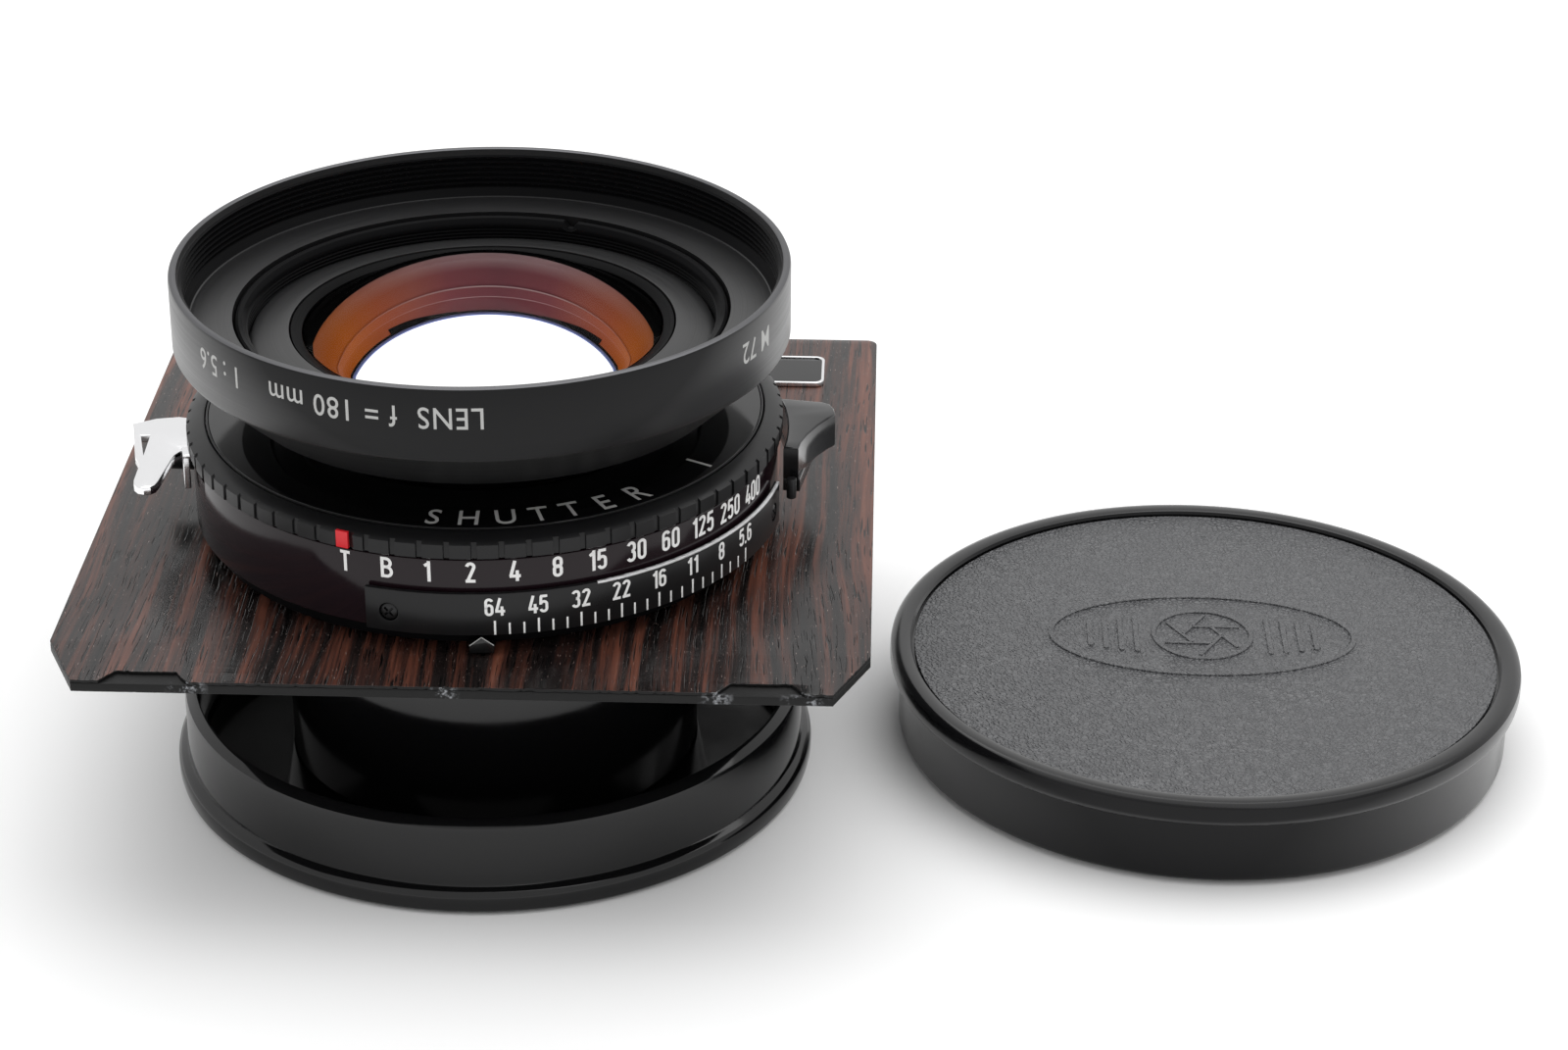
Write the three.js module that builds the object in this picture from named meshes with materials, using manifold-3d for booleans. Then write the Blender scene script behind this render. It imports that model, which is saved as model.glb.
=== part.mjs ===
// A 180 mm view-camera lens in a size 1 leaf shutter, mounted on a wood-faced lens board.
// It stands in its rear cap, and its front cap lies beside it, face up.
// Millimetres, +Z up along the lens axis, z = 0 on the surface that everything stands on.
// Angles are in degrees anticlockwise from above, and 0 is the front of the shutter, at -Y.
import * as THREE from 'three';
import { mergeVertices } from 'three/addons/utils/BufferGeometryUtils.js';
import Module from 'manifold-3d';

const wasm = await Module();
wasm.setup();

// ---- Driving dimensions ----
const GAP = 0.3; // between pieces that touch in the real object
const FINE = 32; // steps round a large ring
const COARSE = 20; // steps round a small ring

const BOARD = { width: 96, depth: 99, centreY: 5.2, bottom: 31.85, plate: 1.1, top: 33.35, hole: 20.9 };
const BOARD_CLIP = { x: 4.2, y: 9.3 }; // front corners
const BOARD_CORNER = 1.4; // rounding of the back corners
const GLUE_LINE = 0.05; // between the plate, the veneer and the badge
const LATCH_NOTCH = { inner: 30.4, outer: 40.6, depth: 2.3, slope: 1.6 }; // in the veneer's front edge
const BADGE = { x: 27, y: 43.3, width: 28, depth: 8.6, height: 0.7, corner: 1.2 };

const RETAINER = { inner: 20.4, outer: 24.6, bottom: 28.6, slotWidth: 2.6, slotDepth: 1.6 };
const FLANGE = { inner: 18.9, neck: 20.1, outer: 26.6, bottom: 27.4 };
const BODY = { radius: 36, bottom: 36, top: 45.5, wall: 1.2, floor: 0.8, bore: 21.6 };
const SPEED_RING = { radius: 36.6, inner: 34.3, bottom: 45.8, edge: 47.95, top: 48.55 };
const FACE_PLATE = { inner: 23.4, outer: 33.9, bottom: 47.5, top: 48.55 };
const SCALE = { inner: 36.3, outer: 36.9, bottom: 36.1, top: 41.5, start: -16.8, end: 80.5 };
const SCREW = { angle: -12.4, farAngle: 76.5, z: 38.6, radius: 1.05 };
const INDEX = { start: -22.4, end: -20.0 }; // red mark of the speed ring, at T when at rest

const RIM = { radius: 37.5, top: 67.8, side: 58.85, bore: 36.1, threadDepth: 5.2 };
const CONE = { radius: 30.3, bottom: 52.45 };
const HOOD_FLOOR = 61.55;
const LOCK_RING = { outer: 29.9, inner: 28.5, top: 61.3 };
const CELL_FACE = { outer: 28.1, inner: 23.5, outerTop: 58.75, innerTop: 59.65 };

const CAP = { wall: 39.2, bore: 37.7, bead: 40.5, beadHeight: 3.2, height: 12, chamfer: 1.3, panel: 1.8 };
const CAP_RECESS = 0.6; // of the panel inside the bead
const FRONT_CAP_AT = { x: 91, y: 8.8 };

const IRIS = { blades: 5, pivotR: 24, swing: 36.7, inner: 16.5, outer: 31.6 };
const SHUTTER = { blades: 5, pivotR: 24, swing: 42, inner: 16.5, outer: 32.6 };
const RELEASE = {
  pivotR: 23.8, angle: -76.6, low: 44.8, high: 45.4, tabLow: 40.8, tabInner: 36.3, tabOuter: 37.3, width: 2.4,
};
const GOVERNOR = { centreR: 31.1, angle: 96, radius: 3.2, sectorR: 27.7 };
const SPRING = { centreR: 31, angle: -30, coilR: 1.8, wire: 0.28, low: 43, high: 45, turns: 3 };
const SYNC = { inner: 37.2, low: 39.8, step: 41.3, top: 45.7 };
const TERMINAL = { x: 40, y: 9.2, z: 42.6, bore: 1.1, radius: 1.6, length: 1.5, contact: 0.4 };
const CABLE_SOCKET = { angle: -93.5, start: 36.3, end: 41, z: 39.6, radius: 1.9, bore: 1 };
const BLADE = { thick: 0.15, step: 0.3, tail: -9, tip: 55, pin: 0.35, eye: 0.5 };
const LEVER_HUB = { inner: 24.6, outer: 27.2 };
const COCKING = { low: 43.5, high: 44.5 };
const PRESS_FOCUS = { low: 42.6, high: 43.1, start: 160, end: 164.5, reach: 39.4 };

// ---- Finishes ----
const finish = (color, roughness, metalness) => ({ color, roughness, metalness });
const ANODISED = finish(0x26272a, 0.45, 0.6);
const MATT_BLACK = finish(0x17181a, 0.8, 0.2);
const GLOSS_BLACK = finish(0x08080a, 0.12, 0.2);
const PLASTIC = finish(0x151517, 0.4, 0);
const AUBERGINE = finish(0x1c1418, 0.3, 0.3);
const SILVER = finish(0xd0d2d4, 0.22, 1);
const STEEL = finish(0x6d7074, 0.35, 1);
const BRASS = finish(0xb08d4a, 0.35, 1);
const RED = finish(0xc8202c, 0.5, 0);
const WOOD = finish(0x4a2820, 0.55, 0);
const LEATHERETTE = finish(0x1a1b1d, 0.6, 0);
const GLASS = finish(0x9a6a5c, 0.03, 0);
const BLADE_STEEL = finish(0x1d1e20, 0.4, 0.8);

const lens = new THREE.Group();

// ---- Geometry helpers ----
const radians = THREE.MathUtils.degToRad;

// A point at an angle from the front, in plan.
function at(radius, degrees) {
  const a = radians(degrees - 90);
  return new THREE.Vector2(radius * Math.cos(a), radius * Math.sin(a));
}

function addPiece(name, geometry, look, place = {}) {
  const mesh = new THREE.Mesh(geometry, new THREE.MeshStandardMaterial(look));
  mesh.name = name;
  mesh.position.set(place.x ?? 0, place.y ?? 0, place.z ?? 0);
  mesh.rotation.z = radians(place.turn ?? 0);
  lens.add(mesh);
  return mesh;
}

// A solid of revolution about Z, from a closed profile of [radius, z] pairs.
function turned(profile, steps = FINE) {
  const points = profile.map(([r, z]) => new THREE.Vector2(r, z));
  if (profile[0][0] > 0) points.push(points[0].clone());
  const geometry = new THREE.LatheGeometry(points, steps);
  geometry.rotateX(Math.PI / 2);
  return facingOut(geometry);
}

function ring(inner, outer, bottom, top, steps = FINE) {
  return turned([[inner, bottom], [outer, bottom], [outer, top], [inner, top]], steps);
}

// Merges shared vertices and turns the faces outward.
function facingOut(geometry) {
  geometry.deleteAttribute('normal');
  geometry.deleteAttribute('uv');
  const merged = mergeVertices(geometry.index ? geometry.toNonIndexed() : geometry, 1e-4);
  const position = merged.getAttribute('position');
  const index = merged.index.array;
  const kept = [];
  const [a, b, c] = [new THREE.Vector3(), new THREE.Vector3(), new THREE.Vector3()];
  let volume = 0;
  for (let i = 0; i < index.length; i += 3) {
    const [p, q, r] = [index[i], index[i + 1], index[i + 2]];
    if (p === q || q === r || r === p) continue;
    kept.push(p, q, r);
    a.fromBufferAttribute(position, p);
    b.fromBufferAttribute(position, q);
    c.fromBufferAttribute(position, r);
    volume += a.dot(b.cross(c));
  }
  merged.setIndex(volume < 0 ? kept.reverse() : kept);
  return merged;
}

function plate(outline, bottom, top, curveSteps = 6) {
  const geometry = new THREE.ExtrudeGeometry(outline, {
    depth: top - bottom,
    bevelEnabled: false,
    curveSegments: curveSteps,
  });
  geometry.translate(0, 0, bottom);
  return facingOut(geometry);
}

// Part of a flat ring between two angles.
function arcBand(inner, outer, start, end, steps) {
  const points = [];
  for (let i = 0; i <= steps; i++) points.push(at(outer, start + ((end - start) * i) / steps));
  for (let i = steps; i >= 0; i--) points.push(at(inner, start + ((end - start) * i) / steps));
  return new THREE.Shape(points);
}

function circleHole(radius, steps = FINE) {
  const points = [];
  for (let i = 0; i < steps; i++) points.push(at(radius, (360 * i) / steps));
  return new THREE.Path(points);
}

function roundedRectangle(width, depth, corner) {
  const [w, d] = [width / 2, depth / 2];
  const shape = new THREE.Shape();
  shape.moveTo(corner - w, -d);
  shape.lineTo(w - corner, -d);
  shape.absarc(w - corner, corner - d, corner, -Math.PI / 2, 0);
  shape.absarc(w - corner, d - corner, corner, 0, Math.PI / 2);
  shape.absarc(corner - w, d - corner, corner, Math.PI / 2, Math.PI);
  shape.absarc(corner - w, corner - d, corner, Math.PI, 1.5 * Math.PI);
  return shape;
}

// A short cylinder along Y, for screws and their holes.
function rod(radius, length, sides = 16) {
  return facingOut(new THREE.CylinderGeometry(radius, radius, length, sides));
}

// Lays a Y-axis cylinder so that it points outward at an angle, with its middle at a radius.
function addRadialRod(name, geometry, look, radius, degrees, z) {
  const centre = at(radius, degrees);
  geometry.rotateZ(-Math.PI / 2);
  return addPiece(name, geometry, look, { x: centre.x, y: centre.y, z, turn: degrees - 90 });
}

function toManifold(geometry) {
  return new wasm.Manifold(new wasm.Mesh({
    numProp: 3,
    vertProperties: new Float32Array(geometry.getAttribute('position').array),
    triVerts: new Uint32Array(geometry.index.array),
  }));
}

function cut(body, ...tools) {
  let solid = toManifold(body);
  for (const tool of tools) solid = solid.subtract(toManifold(tool));
  return fromManifold(solid);
}

function join(first, ...others) {
  let solid = toManifold(first);
  for (const other of others) solid = solid.add(toManifold(other));
  return fromManifold(solid);
}

function fromManifold(solid) {
  const { vertProperties, triVerts } = solid.getMesh();
  const geometry = new THREE.BufferGeometry();
  geometry.setAttribute('position', new THREE.BufferAttribute(new Float32Array(vertProperties), 3));
  geometry.setIndex(new THREE.BufferAttribute(new Uint32Array(triVerts), 1));
  return geometry;
}

// ---- Lens board: a thin black plate, a wood veneer on it and a blank badge ----
function boardOutline(notched) {
  const [w, front] = [BOARD.width / 2, BOARD.centreY - BOARD.depth / 2];
  const back = BOARD.centreY + BOARD.depth / 2;
  const shape = new THREE.Shape();
  shape.moveTo(BOARD_CLIP.x - w, front);
  if (notched) {
    for (const side of [-1, 1]) {
      const ends = side < 0 ? [LATCH_NOTCH.outer, LATCH_NOTCH.inner] : [LATCH_NOTCH.inner, LATCH_NOTCH.outer];
      const inset = side * (ends[0] > ends[1] ? -1 : 1) * LATCH_NOTCH.slope;
      shape.lineTo(side * ends[0], front);
      shape.lineTo(side * ends[0] + inset, front + LATCH_NOTCH.depth);
      shape.lineTo(side * ends[1] - inset, front + LATCH_NOTCH.depth);
      shape.lineTo(side * ends[1], front);
    }
  }
  shape.lineTo(w - BOARD_CLIP.x, front);
  shape.lineTo(w, front + BOARD_CLIP.y);
  shape.lineTo(w, back - BOARD_CORNER);
  shape.absarc(w - BOARD_CORNER, back - BOARD_CORNER, BOARD_CORNER, 0, Math.PI / 2);
  shape.absarc(BOARD_CORNER - w, back - BOARD_CORNER, BOARD_CORNER, Math.PI / 2, Math.PI);
  shape.lineTo(-w, front + BOARD_CLIP.y);
  shape.closePath();
  shape.holes.push(circleHole(BOARD.hole));
  return shape;
}

function addBoard() {
  const plateTop = BOARD.bottom + BOARD.plate;
  addPiece('board_plate', plate(boardOutline(false), BOARD.bottom, plateTop), MATT_BLACK);
  addPiece('board_veneer', plate(boardOutline(true), plateTop + GLUE_LINE, BOARD.top), WOOD);
  const badge = roundedRectangle(BADGE.width, BADGE.depth, BADGE.corner);
  const badgeBottom = BOARD.top + GLUE_LINE;
  addPiece('board_badge', plate(badge, badgeBottom, BOARD.top + BADGE.height, 3), GLOSS_BLACK, {
    x: BADGE.x,
    y: BADGE.y,
  });
}

// The slotted ring that clamps the shutter to the board from behind.
function addRetainingRing() {
  const { inner, outer, bottom, slotWidth, slotDepth } = RETAINER;
  const body = ring(inner, outer, bottom, BOARD.bottom - 0.5);
  const slots = [0, 180].map((turn) => {
    const slot = new THREE.BoxGeometry(slotWidth, 6, slotDepth);
    slot.translate(0, outer - 1, bottom + 0.2);
    slot.rotateZ(radians(turn));
    return facingOut(slot);
  });
  addPiece('retaining_ring', cut(body, ...slots), STEEL);
}

// ---- Shutter: fixed pieces ----
function addShutterBody() {
  const flangeTop = BODY.bottom - GAP;
  addPiece('shutter_flange', turned([
    [FLANGE.inner, FLANGE.bottom], [FLANGE.neck, FLANGE.bottom], [FLANGE.neck, BOARD.top + GAP],
    [FLANGE.outer, BOARD.top + GAP], [FLANGE.outer, flangeTop], [FLANGE.inner, flangeTop],
  ]), STEEL);

  const { radius, bottom, top, wall, floor, bore } = BODY;
  const cup = turned([
    [bore, bottom], [radius, bottom], [radius, top], [radius - wall, top],
    [radius - wall, bottom + floor], [bore, bottom + floor],
  ]);
  const wallSlot = (start, end, low, high) =>
    plate(arcBand(radius - wall - 1, radius + 1, start, end, 8), low, high);
  const pinSlot = plate(arcBand(29.6, 32.4, 170, 241, 14), bottom - 1, bottom + floor + 1);
  addPiece('shutter_housing', cut(
    cup,
    wallSlot(-136, -77, 43.2, top + 1),
    wallSlot(-82, -64, 44.5, top + 1),
    wallSlot(154, 184, 42.4, 43.3),
    pinSlot,
  ), AUBERGINE);

  const pins = [...pivotPins(IRIS, 37.6, 39.4), ...pivotPins(SHUTTER, 39.5, 41.7)];
  addPiece('mechanism_plate', join(ring(IRIS.inner, 34.4, 39.2, 39.7), ...pins), BRASS);
  addPiece('blade_spacer', ring(34, 34.5, 40, 41.6), BRASS);
  const cover = turned([
    [SHUTTER.inner, 41.9], [34.4, 41.9], [34.4, 42.3], [22.2, 42.3], [22.2, 47.2], [20.9, 47.2],
    [20.9, 42.3], [SHUTTER.inner, 42.3],
  ]);
  const posts = [
    post(0.5, 45.6, RELEASE.pivotR, RELEASE.angle),
    post(0.6, 45.2, GOVERNOR.centreR, GOVERNOR.angle),
    post(1.2, 45.4, SPRING.centreR, SPRING.angle),
  ];
  addPiece('blade_cover', join(cover, ...posts), BRASS);
  const face = ring(FACE_PLATE.inner, FACE_PLATE.outer, FACE_PLATE.bottom, FACE_PLATE.top);
  addPiece('face_plate', face, GLOSS_BLACK);
}

// One pin for each blade of a leaf set, to swing on.
function pivotPins(set, low, high) {
  const pins = [];
  for (let i = 0; i < set.blades; i++) {
    const centre = at(set.pivotR, (360 * i) / set.blades);
    pins.push(ring(0, BLADE.pin, low, high, 8).translate(centre.x, centre.y, 0));
  }
  return pins;
}

// A post that stands on the blade cover.
function post(radius, top, centreR, degrees) {
  const centre = at(centreR, degrees);
  return ring(0, radius, 42.2, top, 12).translate(centre.x, centre.y, 0);
}

// The coil that drives the blades, round its own post.
function addMainSpring() {
  const centre = at(SPRING.centreR, SPRING.angle);
  const { coilR, wire, low, high, turns } = SPRING;
  const points = [];
  const perTurn = 10;
  const steps = turns * perTurn;
  for (let i = 0; i <= steps; i++) {
    const a = (2 * Math.PI * i) / perTurn;
    const z = low + ((high - low) * i) / steps;
    points.push(new THREE.Vector3(coilR * Math.cos(a), coilR * Math.sin(a), z));
  }
  const wireOutline = new THREE.Path().absarc(0, 0, wire, 0, 2 * Math.PI).getSpacedPoints(6);
  const section = new THREE.Shape(wireOutline.slice(0, 6));
  const coil = new THREE.ExtrudeGeometry(section, {
    steps,
    extrudePath: new THREE.CatmullRomCurve3(points),
    bevelEnabled: false,
  });
  addPiece('main_spring', facingOut(coil), STEEL, { x: centre.x, y: centre.y });
}

// Runs an outline back along the round side of the shutter, behind the moulded block.
function followBody(outline, radius) {
  for (const degrees of [104, 100, 96, 92, 88, 85]) {
    const p = at(radius, degrees);
    outline.lineTo(p.x, p.y);
  }
}

// The moulded block on the right that carries the flash terminal, with a hollow for a fingertip.
function addSyncHousing() {
  const { inner, low, step, top } = SYNC;
  const block = new THREE.Shape();
  const start = at(inner, 82);
  block.moveTo(start.x, start.y);
  block.lineTo(38.7, -5.4);
  block.quadraticCurveTo(39.3, -1.6, 41, 1.6);
  block.quadraticCurveTo(42, 3.3, 43, 4.6);
  block.lineTo(42.8, 6.4);
  block.quadraticCurveTo(42.4, 7.9, 41.2, 8.2);
  followBody(block, inner);
  block.closePath();
  const foot = new THREE.Shape();
  foot.moveTo(start.x, start.y);
  foot.lineTo(38.9, -5.4);
  foot.lineTo(40.3, 3.4);
  foot.lineTo(39.6, 8.8);
  followBody(foot, inner);
  foot.closePath();
  addPiece('sync_housing', join(plate(block, step, top), plate(foot, low, step + 0.01)), PLASTIC);

  const socket = ring(TERMINAL.bore, TERMINAL.radius, 0, TERMINAL.length, 16);
  socket.rotateX(-Math.PI / 2);
  addPiece('sync_terminal', facingOut(socket), STEEL, TERMINAL);
  const contact = ring(0, TERMINAL.contact, 0, TERMINAL.length - 0.2, 10);
  contact.rotateX(-Math.PI / 2);
  addPiece('sync_contact', facingOut(contact), BRASS, TERMINAL);
  addPiece('housing_screw', ring(0, 0.6, 39.6, 42.2, 12), STEEL, { x: 37.9, y: -6.5 });
}

// The threaded socket for a cable release, under the cocking lever.
function addCableSocket() {
  const { angle, start, end, z, radius, bore } = CABLE_SOCKET;
  const socket = ring(bore, radius, 0, end - start, 20);
  socket.rotateY(Math.PI / 2);
  const centre = at(start, angle);
  const place = { x: centre.x, y: centre.y, z, turn: angle - 90 };
  addPiece('cable_release_socket', facingOut(socket), GLOSS_BLACK, place);
}

function addApertureScale() {
  const scale = plate(arcBand(SCALE.inner, SCALE.outer, SCALE.start, SCALE.end, 30), SCALE.bottom, SCALE.top);
  const holes = [SCREW.angle, SCREW.farAngle].map((degrees) => {
    const centre = at(SCALE.outer, degrees);
    const hole = rod(SCREW.radius + 0.15, 4);
    hole.rotateZ(-Math.PI / 2);
    hole.rotateZ(radians(degrees - 90));
    hole.translate(centre.x, centre.y, SCREW.z);
    return hole;
  });
  addPiece('aperture_scale_plate', cut(scale, ...holes), MATT_BLACK);
  const length = SCALE.outer - BODY.radius - GAP / 2;
  for (const [name, degrees] of [['scale_screw_left', SCREW.angle], ['scale_screw_right', SCREW.farAngle]]) {
    addRadialRod(name, rod(SCREW.radius, length), STEEL, SCALE.outer - length / 2, degrees, SCREW.z);
  }
}

// ---- Front lens group ----
function addFrontGroup() {
  const lip = 0.9;
  const threadEnd = RIM.top - RIM.threadDepth;
  addPiece('filter_hood', turned([
    [RIM.radius, RIM.side], [RIM.radius, RIM.top - 0.4], [RIM.radius - 0.4, RIM.top],
    [RIM.radius - lip, RIM.top], [RIM.bore, RIM.top - 0.6], [RIM.bore, threadEnd],
    [RIM.bore - 0.7, HOOD_FLOOR], [LOCK_RING.outer + GAP, HOOD_FLOOR],
    [LOCK_RING.outer + GAP, 57.6], [26.4, 57.6], [26.4, CONE.bottom], [CONE.radius, CONE.bottom],
  ]), ANODISED);

  const lockRing = turned([
    [LOCK_RING.inner, 57.9], [LOCK_RING.outer, 57.9], [LOCK_RING.outer, LOCK_RING.top - 0.3],
    [LOCK_RING.outer - 0.4, LOCK_RING.top], [LOCK_RING.inner, LOCK_RING.top - 0.8],
  ]);
  const spannerSlots = [163, 343].map((degrees) => {
    const slot = new THREE.BoxGeometry(1.6, 2.4, 2);
    slot.translate(0, -29.2, LOCK_RING.top);
    slot.rotateZ(radians(degrees));
    return facingOut(slot);
  });
  addPiece('hood_lock_ring', cut(lockRing, ...spannerSlots), ANODISED);

  addPiece('front_cell_ring', turned([
    [CELL_FACE.inner, 57.2], [26.1, 57.2], [26.1, 57.9], [CELL_FACE.outer, 57.9],
    [CELL_FACE.outer, CELL_FACE.outerTop], [CELL_FACE.inner, CELL_FACE.innerTop],
  ]), MATT_BLACK);
  addPiece('front_glass_ring', turned([
    [21.95, 57.2], [CELL_FACE.inner - GAP, 57.2], [CELL_FACE.inner - GAP, CELL_FACE.innerTop - 0.2],
    [21.95, 59.1],
  ]), GLOSS_BLACK);

  addPiece('front_cell_barrel', turned([
    [23, 48.9], [23, 51.4], [26.1, 52.8], [26.1, 56.9], [21.95, 56.9], [21.95, 49.05], [19.1, 49.05],
    [18.3, 48], [18.3, 44.4], [16.9, 44.4], [16.9, 42.7], [20.6, 42.7], [20.6, 48.6],
  ]), MATT_BLACK);
  addElement('front_element_1', 21.6, 55.5, 59, { top: 38, rise: 21.6, bottom: 90 });
  addElement('front_element_2', 21.6, 49.4, 55.15, { top: 90, rise: 21, bottom: 36 });
  addElement('front_element_3', 17.9, 45, 47.6, { top: 33, rise: 17.6, bottom: 40 });
  addPiece('front_spacer', ring(17.4, 17.95, 48.1, 49, COARSE), MATT_BLACK);
}

// A lens element: a round edge between two heights, with a dome (positive) or a hollow (negative
// radius) on top and the same below, where a positive radius curves up into the glass.
function addElement(name, radius, edgeBottom, edgeTop, curve) {
  const steps = 3;
  const sag = (r, sphere) => sphere - Math.sign(sphere) * Math.sqrt(sphere * sphere - r * r);
  const { rise } = curve;
  const profile = [];
  for (let i = 0; i <= steps; i++) {
    const r = (rise * i) / steps;
    profile.push([r, edgeBottom + sag(rise, curve.bottom) - sag(r, curve.bottom)]);
  }
  if (radius > rise) profile.push([radius, edgeBottom]);
  if (radius > rise) profile.push([radius, edgeTop]);
  for (let i = steps; i >= 0; i--) {
    const r = (rise * i) / steps;
    profile.push([r, edgeTop + sag(rise, curve.top) - sag(r, curve.top)]);
  }
  addPiece(name, turned(profile, COARSE), GLASS);
}

// ---- Rear lens group ----
function addRearGroup() {
  addPiece('rear_cell_barrel', turned([
    [25.8, 3.15], [25.8, 24.6], [23.4, 27.1], [18.6, 27.1], [18.6, 33.2], [16.9, 33.2], [16.9, 26.4],
    [18.4, 24.2], [18.4, 18.7], [21.95, 18.7], [21.95, 9.3], [23.6, 9.3], [23.6, 3.15],
  ]), GLOSS_BLACK);
  addElement('rear_element_4', 18.1, 20.6, 23, { top: -40, rise: 17.6, bottom: -33 });
  addPiece('rear_spacer', ring(17.3, 18.1, 19, 20.1, COARSE), MATT_BLACK);
  addElement('rear_element_5', 21.6, 12.55, 18.3, { top: -36, rise: 21, bottom: -90 });
  addElement('rear_element_6', 21.6, 9.6, 12.2, { top: -90, rise: 21.6, bottom: -52 });
  addPiece('rear_glass_ring', ring(21.2, 23.3, 6, 9), GLOSS_BLACK);
}

// ---- Shutter: moving pieces ----
function addSpeedRing() {
  const { radius, inner, bottom, edge, top } = SPEED_RING;
  const body = turned([
    [inner, bottom], [radius, bottom], [radius, edge], [inner + 0.3, top], [inner, top],
  ]);
  const seat = arcBand(radius - 0.4, radius + 1, INDEX.start - GAP, INDEX.end + GAP, 3);
  addPiece('speed_ring', cut(body, plate(seat, bottom - 1, edge + 1)), ANODISED);
  const mark = arcBand(radius - 0.35, radius, INDEX.start, INDEX.end, 2);
  addPiece('speed_index', plate(mark, bottom + 0.05, edge - 0.1), RED);
  addPiece('speed_cam_ring', ring(23.2, 34, 46.2, 47), STEEL);
}

function addApertureRing() {
  const pin = at(31, 176);
  const drivePin = ring(0, 0.9, 35.3, 37, 12).translate(pin.x, pin.y, 0);
  addPiece('aperture_ring', join(ring(27, 34.6, 34.1, 35.4), drivePin), MATT_BLACK);
  const pointerAngle = 4.4;
  const halfWidth = 1.45;
  const tab = new THREE.Shape([
    new THREE.Vector2(-halfWidth, 33.75),
    new THREE.Vector2(halfWidth, 33.75),
    new THREE.Vector2(halfWidth, 34.75),
    new THREE.Vector2(0, 35.85),
    new THREE.Vector2(-halfWidth, 34.75),
  ]);
  const face = plate(tab, 0, 1.9);
  face.rotateX(Math.PI / 2);
  face.translate(0, -35, 0);
  addPiece('aperture_pointer', facingOut(face), MATT_BLACK, { turn: pointerAngle });

  addPiece('iris_cam_ring', ring(23.2, 33.8, 37.1, 37.5), BRASS);
}

// One blade of a leaf set. It is drawn as it stands when open, then swung shut about its pivot.
function bladeGeometry(set, level) {
  const shape = arcBand(set.inner, set.outer, BLADE.tail, BLADE.tip, 10);
  const pivot = at(set.pivotR, 0);
  shape.holes.push(new THREE.Path(circleHole(BLADE.eye, 8).getPoints().map((p) => p.add(pivot))));
  const geometry = plate(shape, level, level + BLADE.thick);
  geometry.translate(-pivot.x, -pivot.y, 0);
  geometry.rotateZ(radians(set.swing));
  geometry.translate(pivot.x, pivot.y, 0);
  return geometry;
}

function addBlades(prefix, set, firstLevel) {
  for (let i = 0; i < set.blades; i++) {
    const turn = (360 * i) / set.blades;
    addPiece(`${prefix}_${i + 1}`, bladeGeometry(set, firstLevel + i * BLADE.step), BLADE_STEEL, { turn });
  }
}

function addCockingLever() {
  const arm = new THREE.Shape(); // in plan, from the hub out to the bent thumb grip
  arm.moveTo(-26.5, 2);
  arm.lineTo(-37.8, 2.7);
  arm.lineTo(-38.7, 2.9);
  arm.lineTo(-41.4, 2.3);
  arm.lineTo(-44.1, 0.7);
  arm.lineTo(-42.1, -8.6);
  arm.lineTo(-41.2, -10.8);
  arm.lineTo(-41.1, -14.8);
  arm.quadraticCurveTo(-40.9, -17.2, -39.3, -17.1);
  arm.quadraticCurveTo(-38, -17, -38, -15.2);
  arm.lineTo(-37.5, -9.4);
  arm.quadraticCurveTo(-37.2, -6.7, -36.2, -6.7);
  arm.lineTo(-26.2, -5);
  arm.closePath();
  arm.holes.push(new THREE.Path([
    new THREE.Vector2(-42.5, -2.6),
    new THREE.Vector2(-41.4, -2.5),
    new THREE.Vector2(-41.2, -8.0),
  ]));
  const { low, high } = COCKING;
  const hub = ring(LEVER_HUB.inner, LEVER_HUB.outer, low, high);
  const sector = plate(arcBand(26.8, GOVERNOR.sectorR, 60, 140, 16), low, high);
  addPiece('cocking_lever', join(plate(arm, low, high, 5), hub, sector), SILVER);
}

// A flat arm on a post near the lens tube, with a finger tab bent down outside the housing.
function addReleaseLever() {
  const { pivotR, angle, low, high, tabLow, tabInner, tabOuter, width } = RELEASE;
  const arm = new THREE.Shape();
  arm.absarc(0, -pivotR, width / 2, 0, Math.PI, false);
  arm.lineTo(-width / 2, -tabInner);
  arm.lineTo(-width / 2, -tabOuter);
  arm.lineTo(width / 2, -tabOuter);
  arm.lineTo(width / 2, -tabInner);
  arm.closePath();
  const pivot = new THREE.Vector2(0, -pivotR);
  arm.holes.push(new THREE.Path(circleHole(0.7, 10).getPoints().map((p) => p.add(pivot))));
  const tab = new THREE.BoxGeometry(width, tabOuter - tabInner, high - tabLow);
  tab.translate(0, -(tabInner + tabOuter) / 2, (high + tabLow) / 2);
  addPiece('release_lever', join(plate(arm, low, high), facingOut(tab)), SILVER, { turn: angle });
}

// The lever that holds the blades open for focusing, and the ring that it turns.
function addPressFocusLever() {
  const { low, high, start, end, reach } = PRESS_FOCUS;
  const arm = arcBand(LEVER_HUB.outer - 0.4, reach, start, end, 3);
  const hub = ring(LEVER_HUB.inner, LEVER_HUB.outer, low, high);
  addPiece('press_focus_lever', join(plate(arm, low, high), hub), MATT_BLACK);
}

function addGovernorGear() {
  const centre = at(GOVERNOR.centreR, GOVERNOR.angle);
  const gear = ring(0.75, GOVERNOR.radius, 43.5, 44.3, 24);
  addPiece('governor_gear', gear, BRASS, { x: centre.x, y: centre.y });
}

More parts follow.
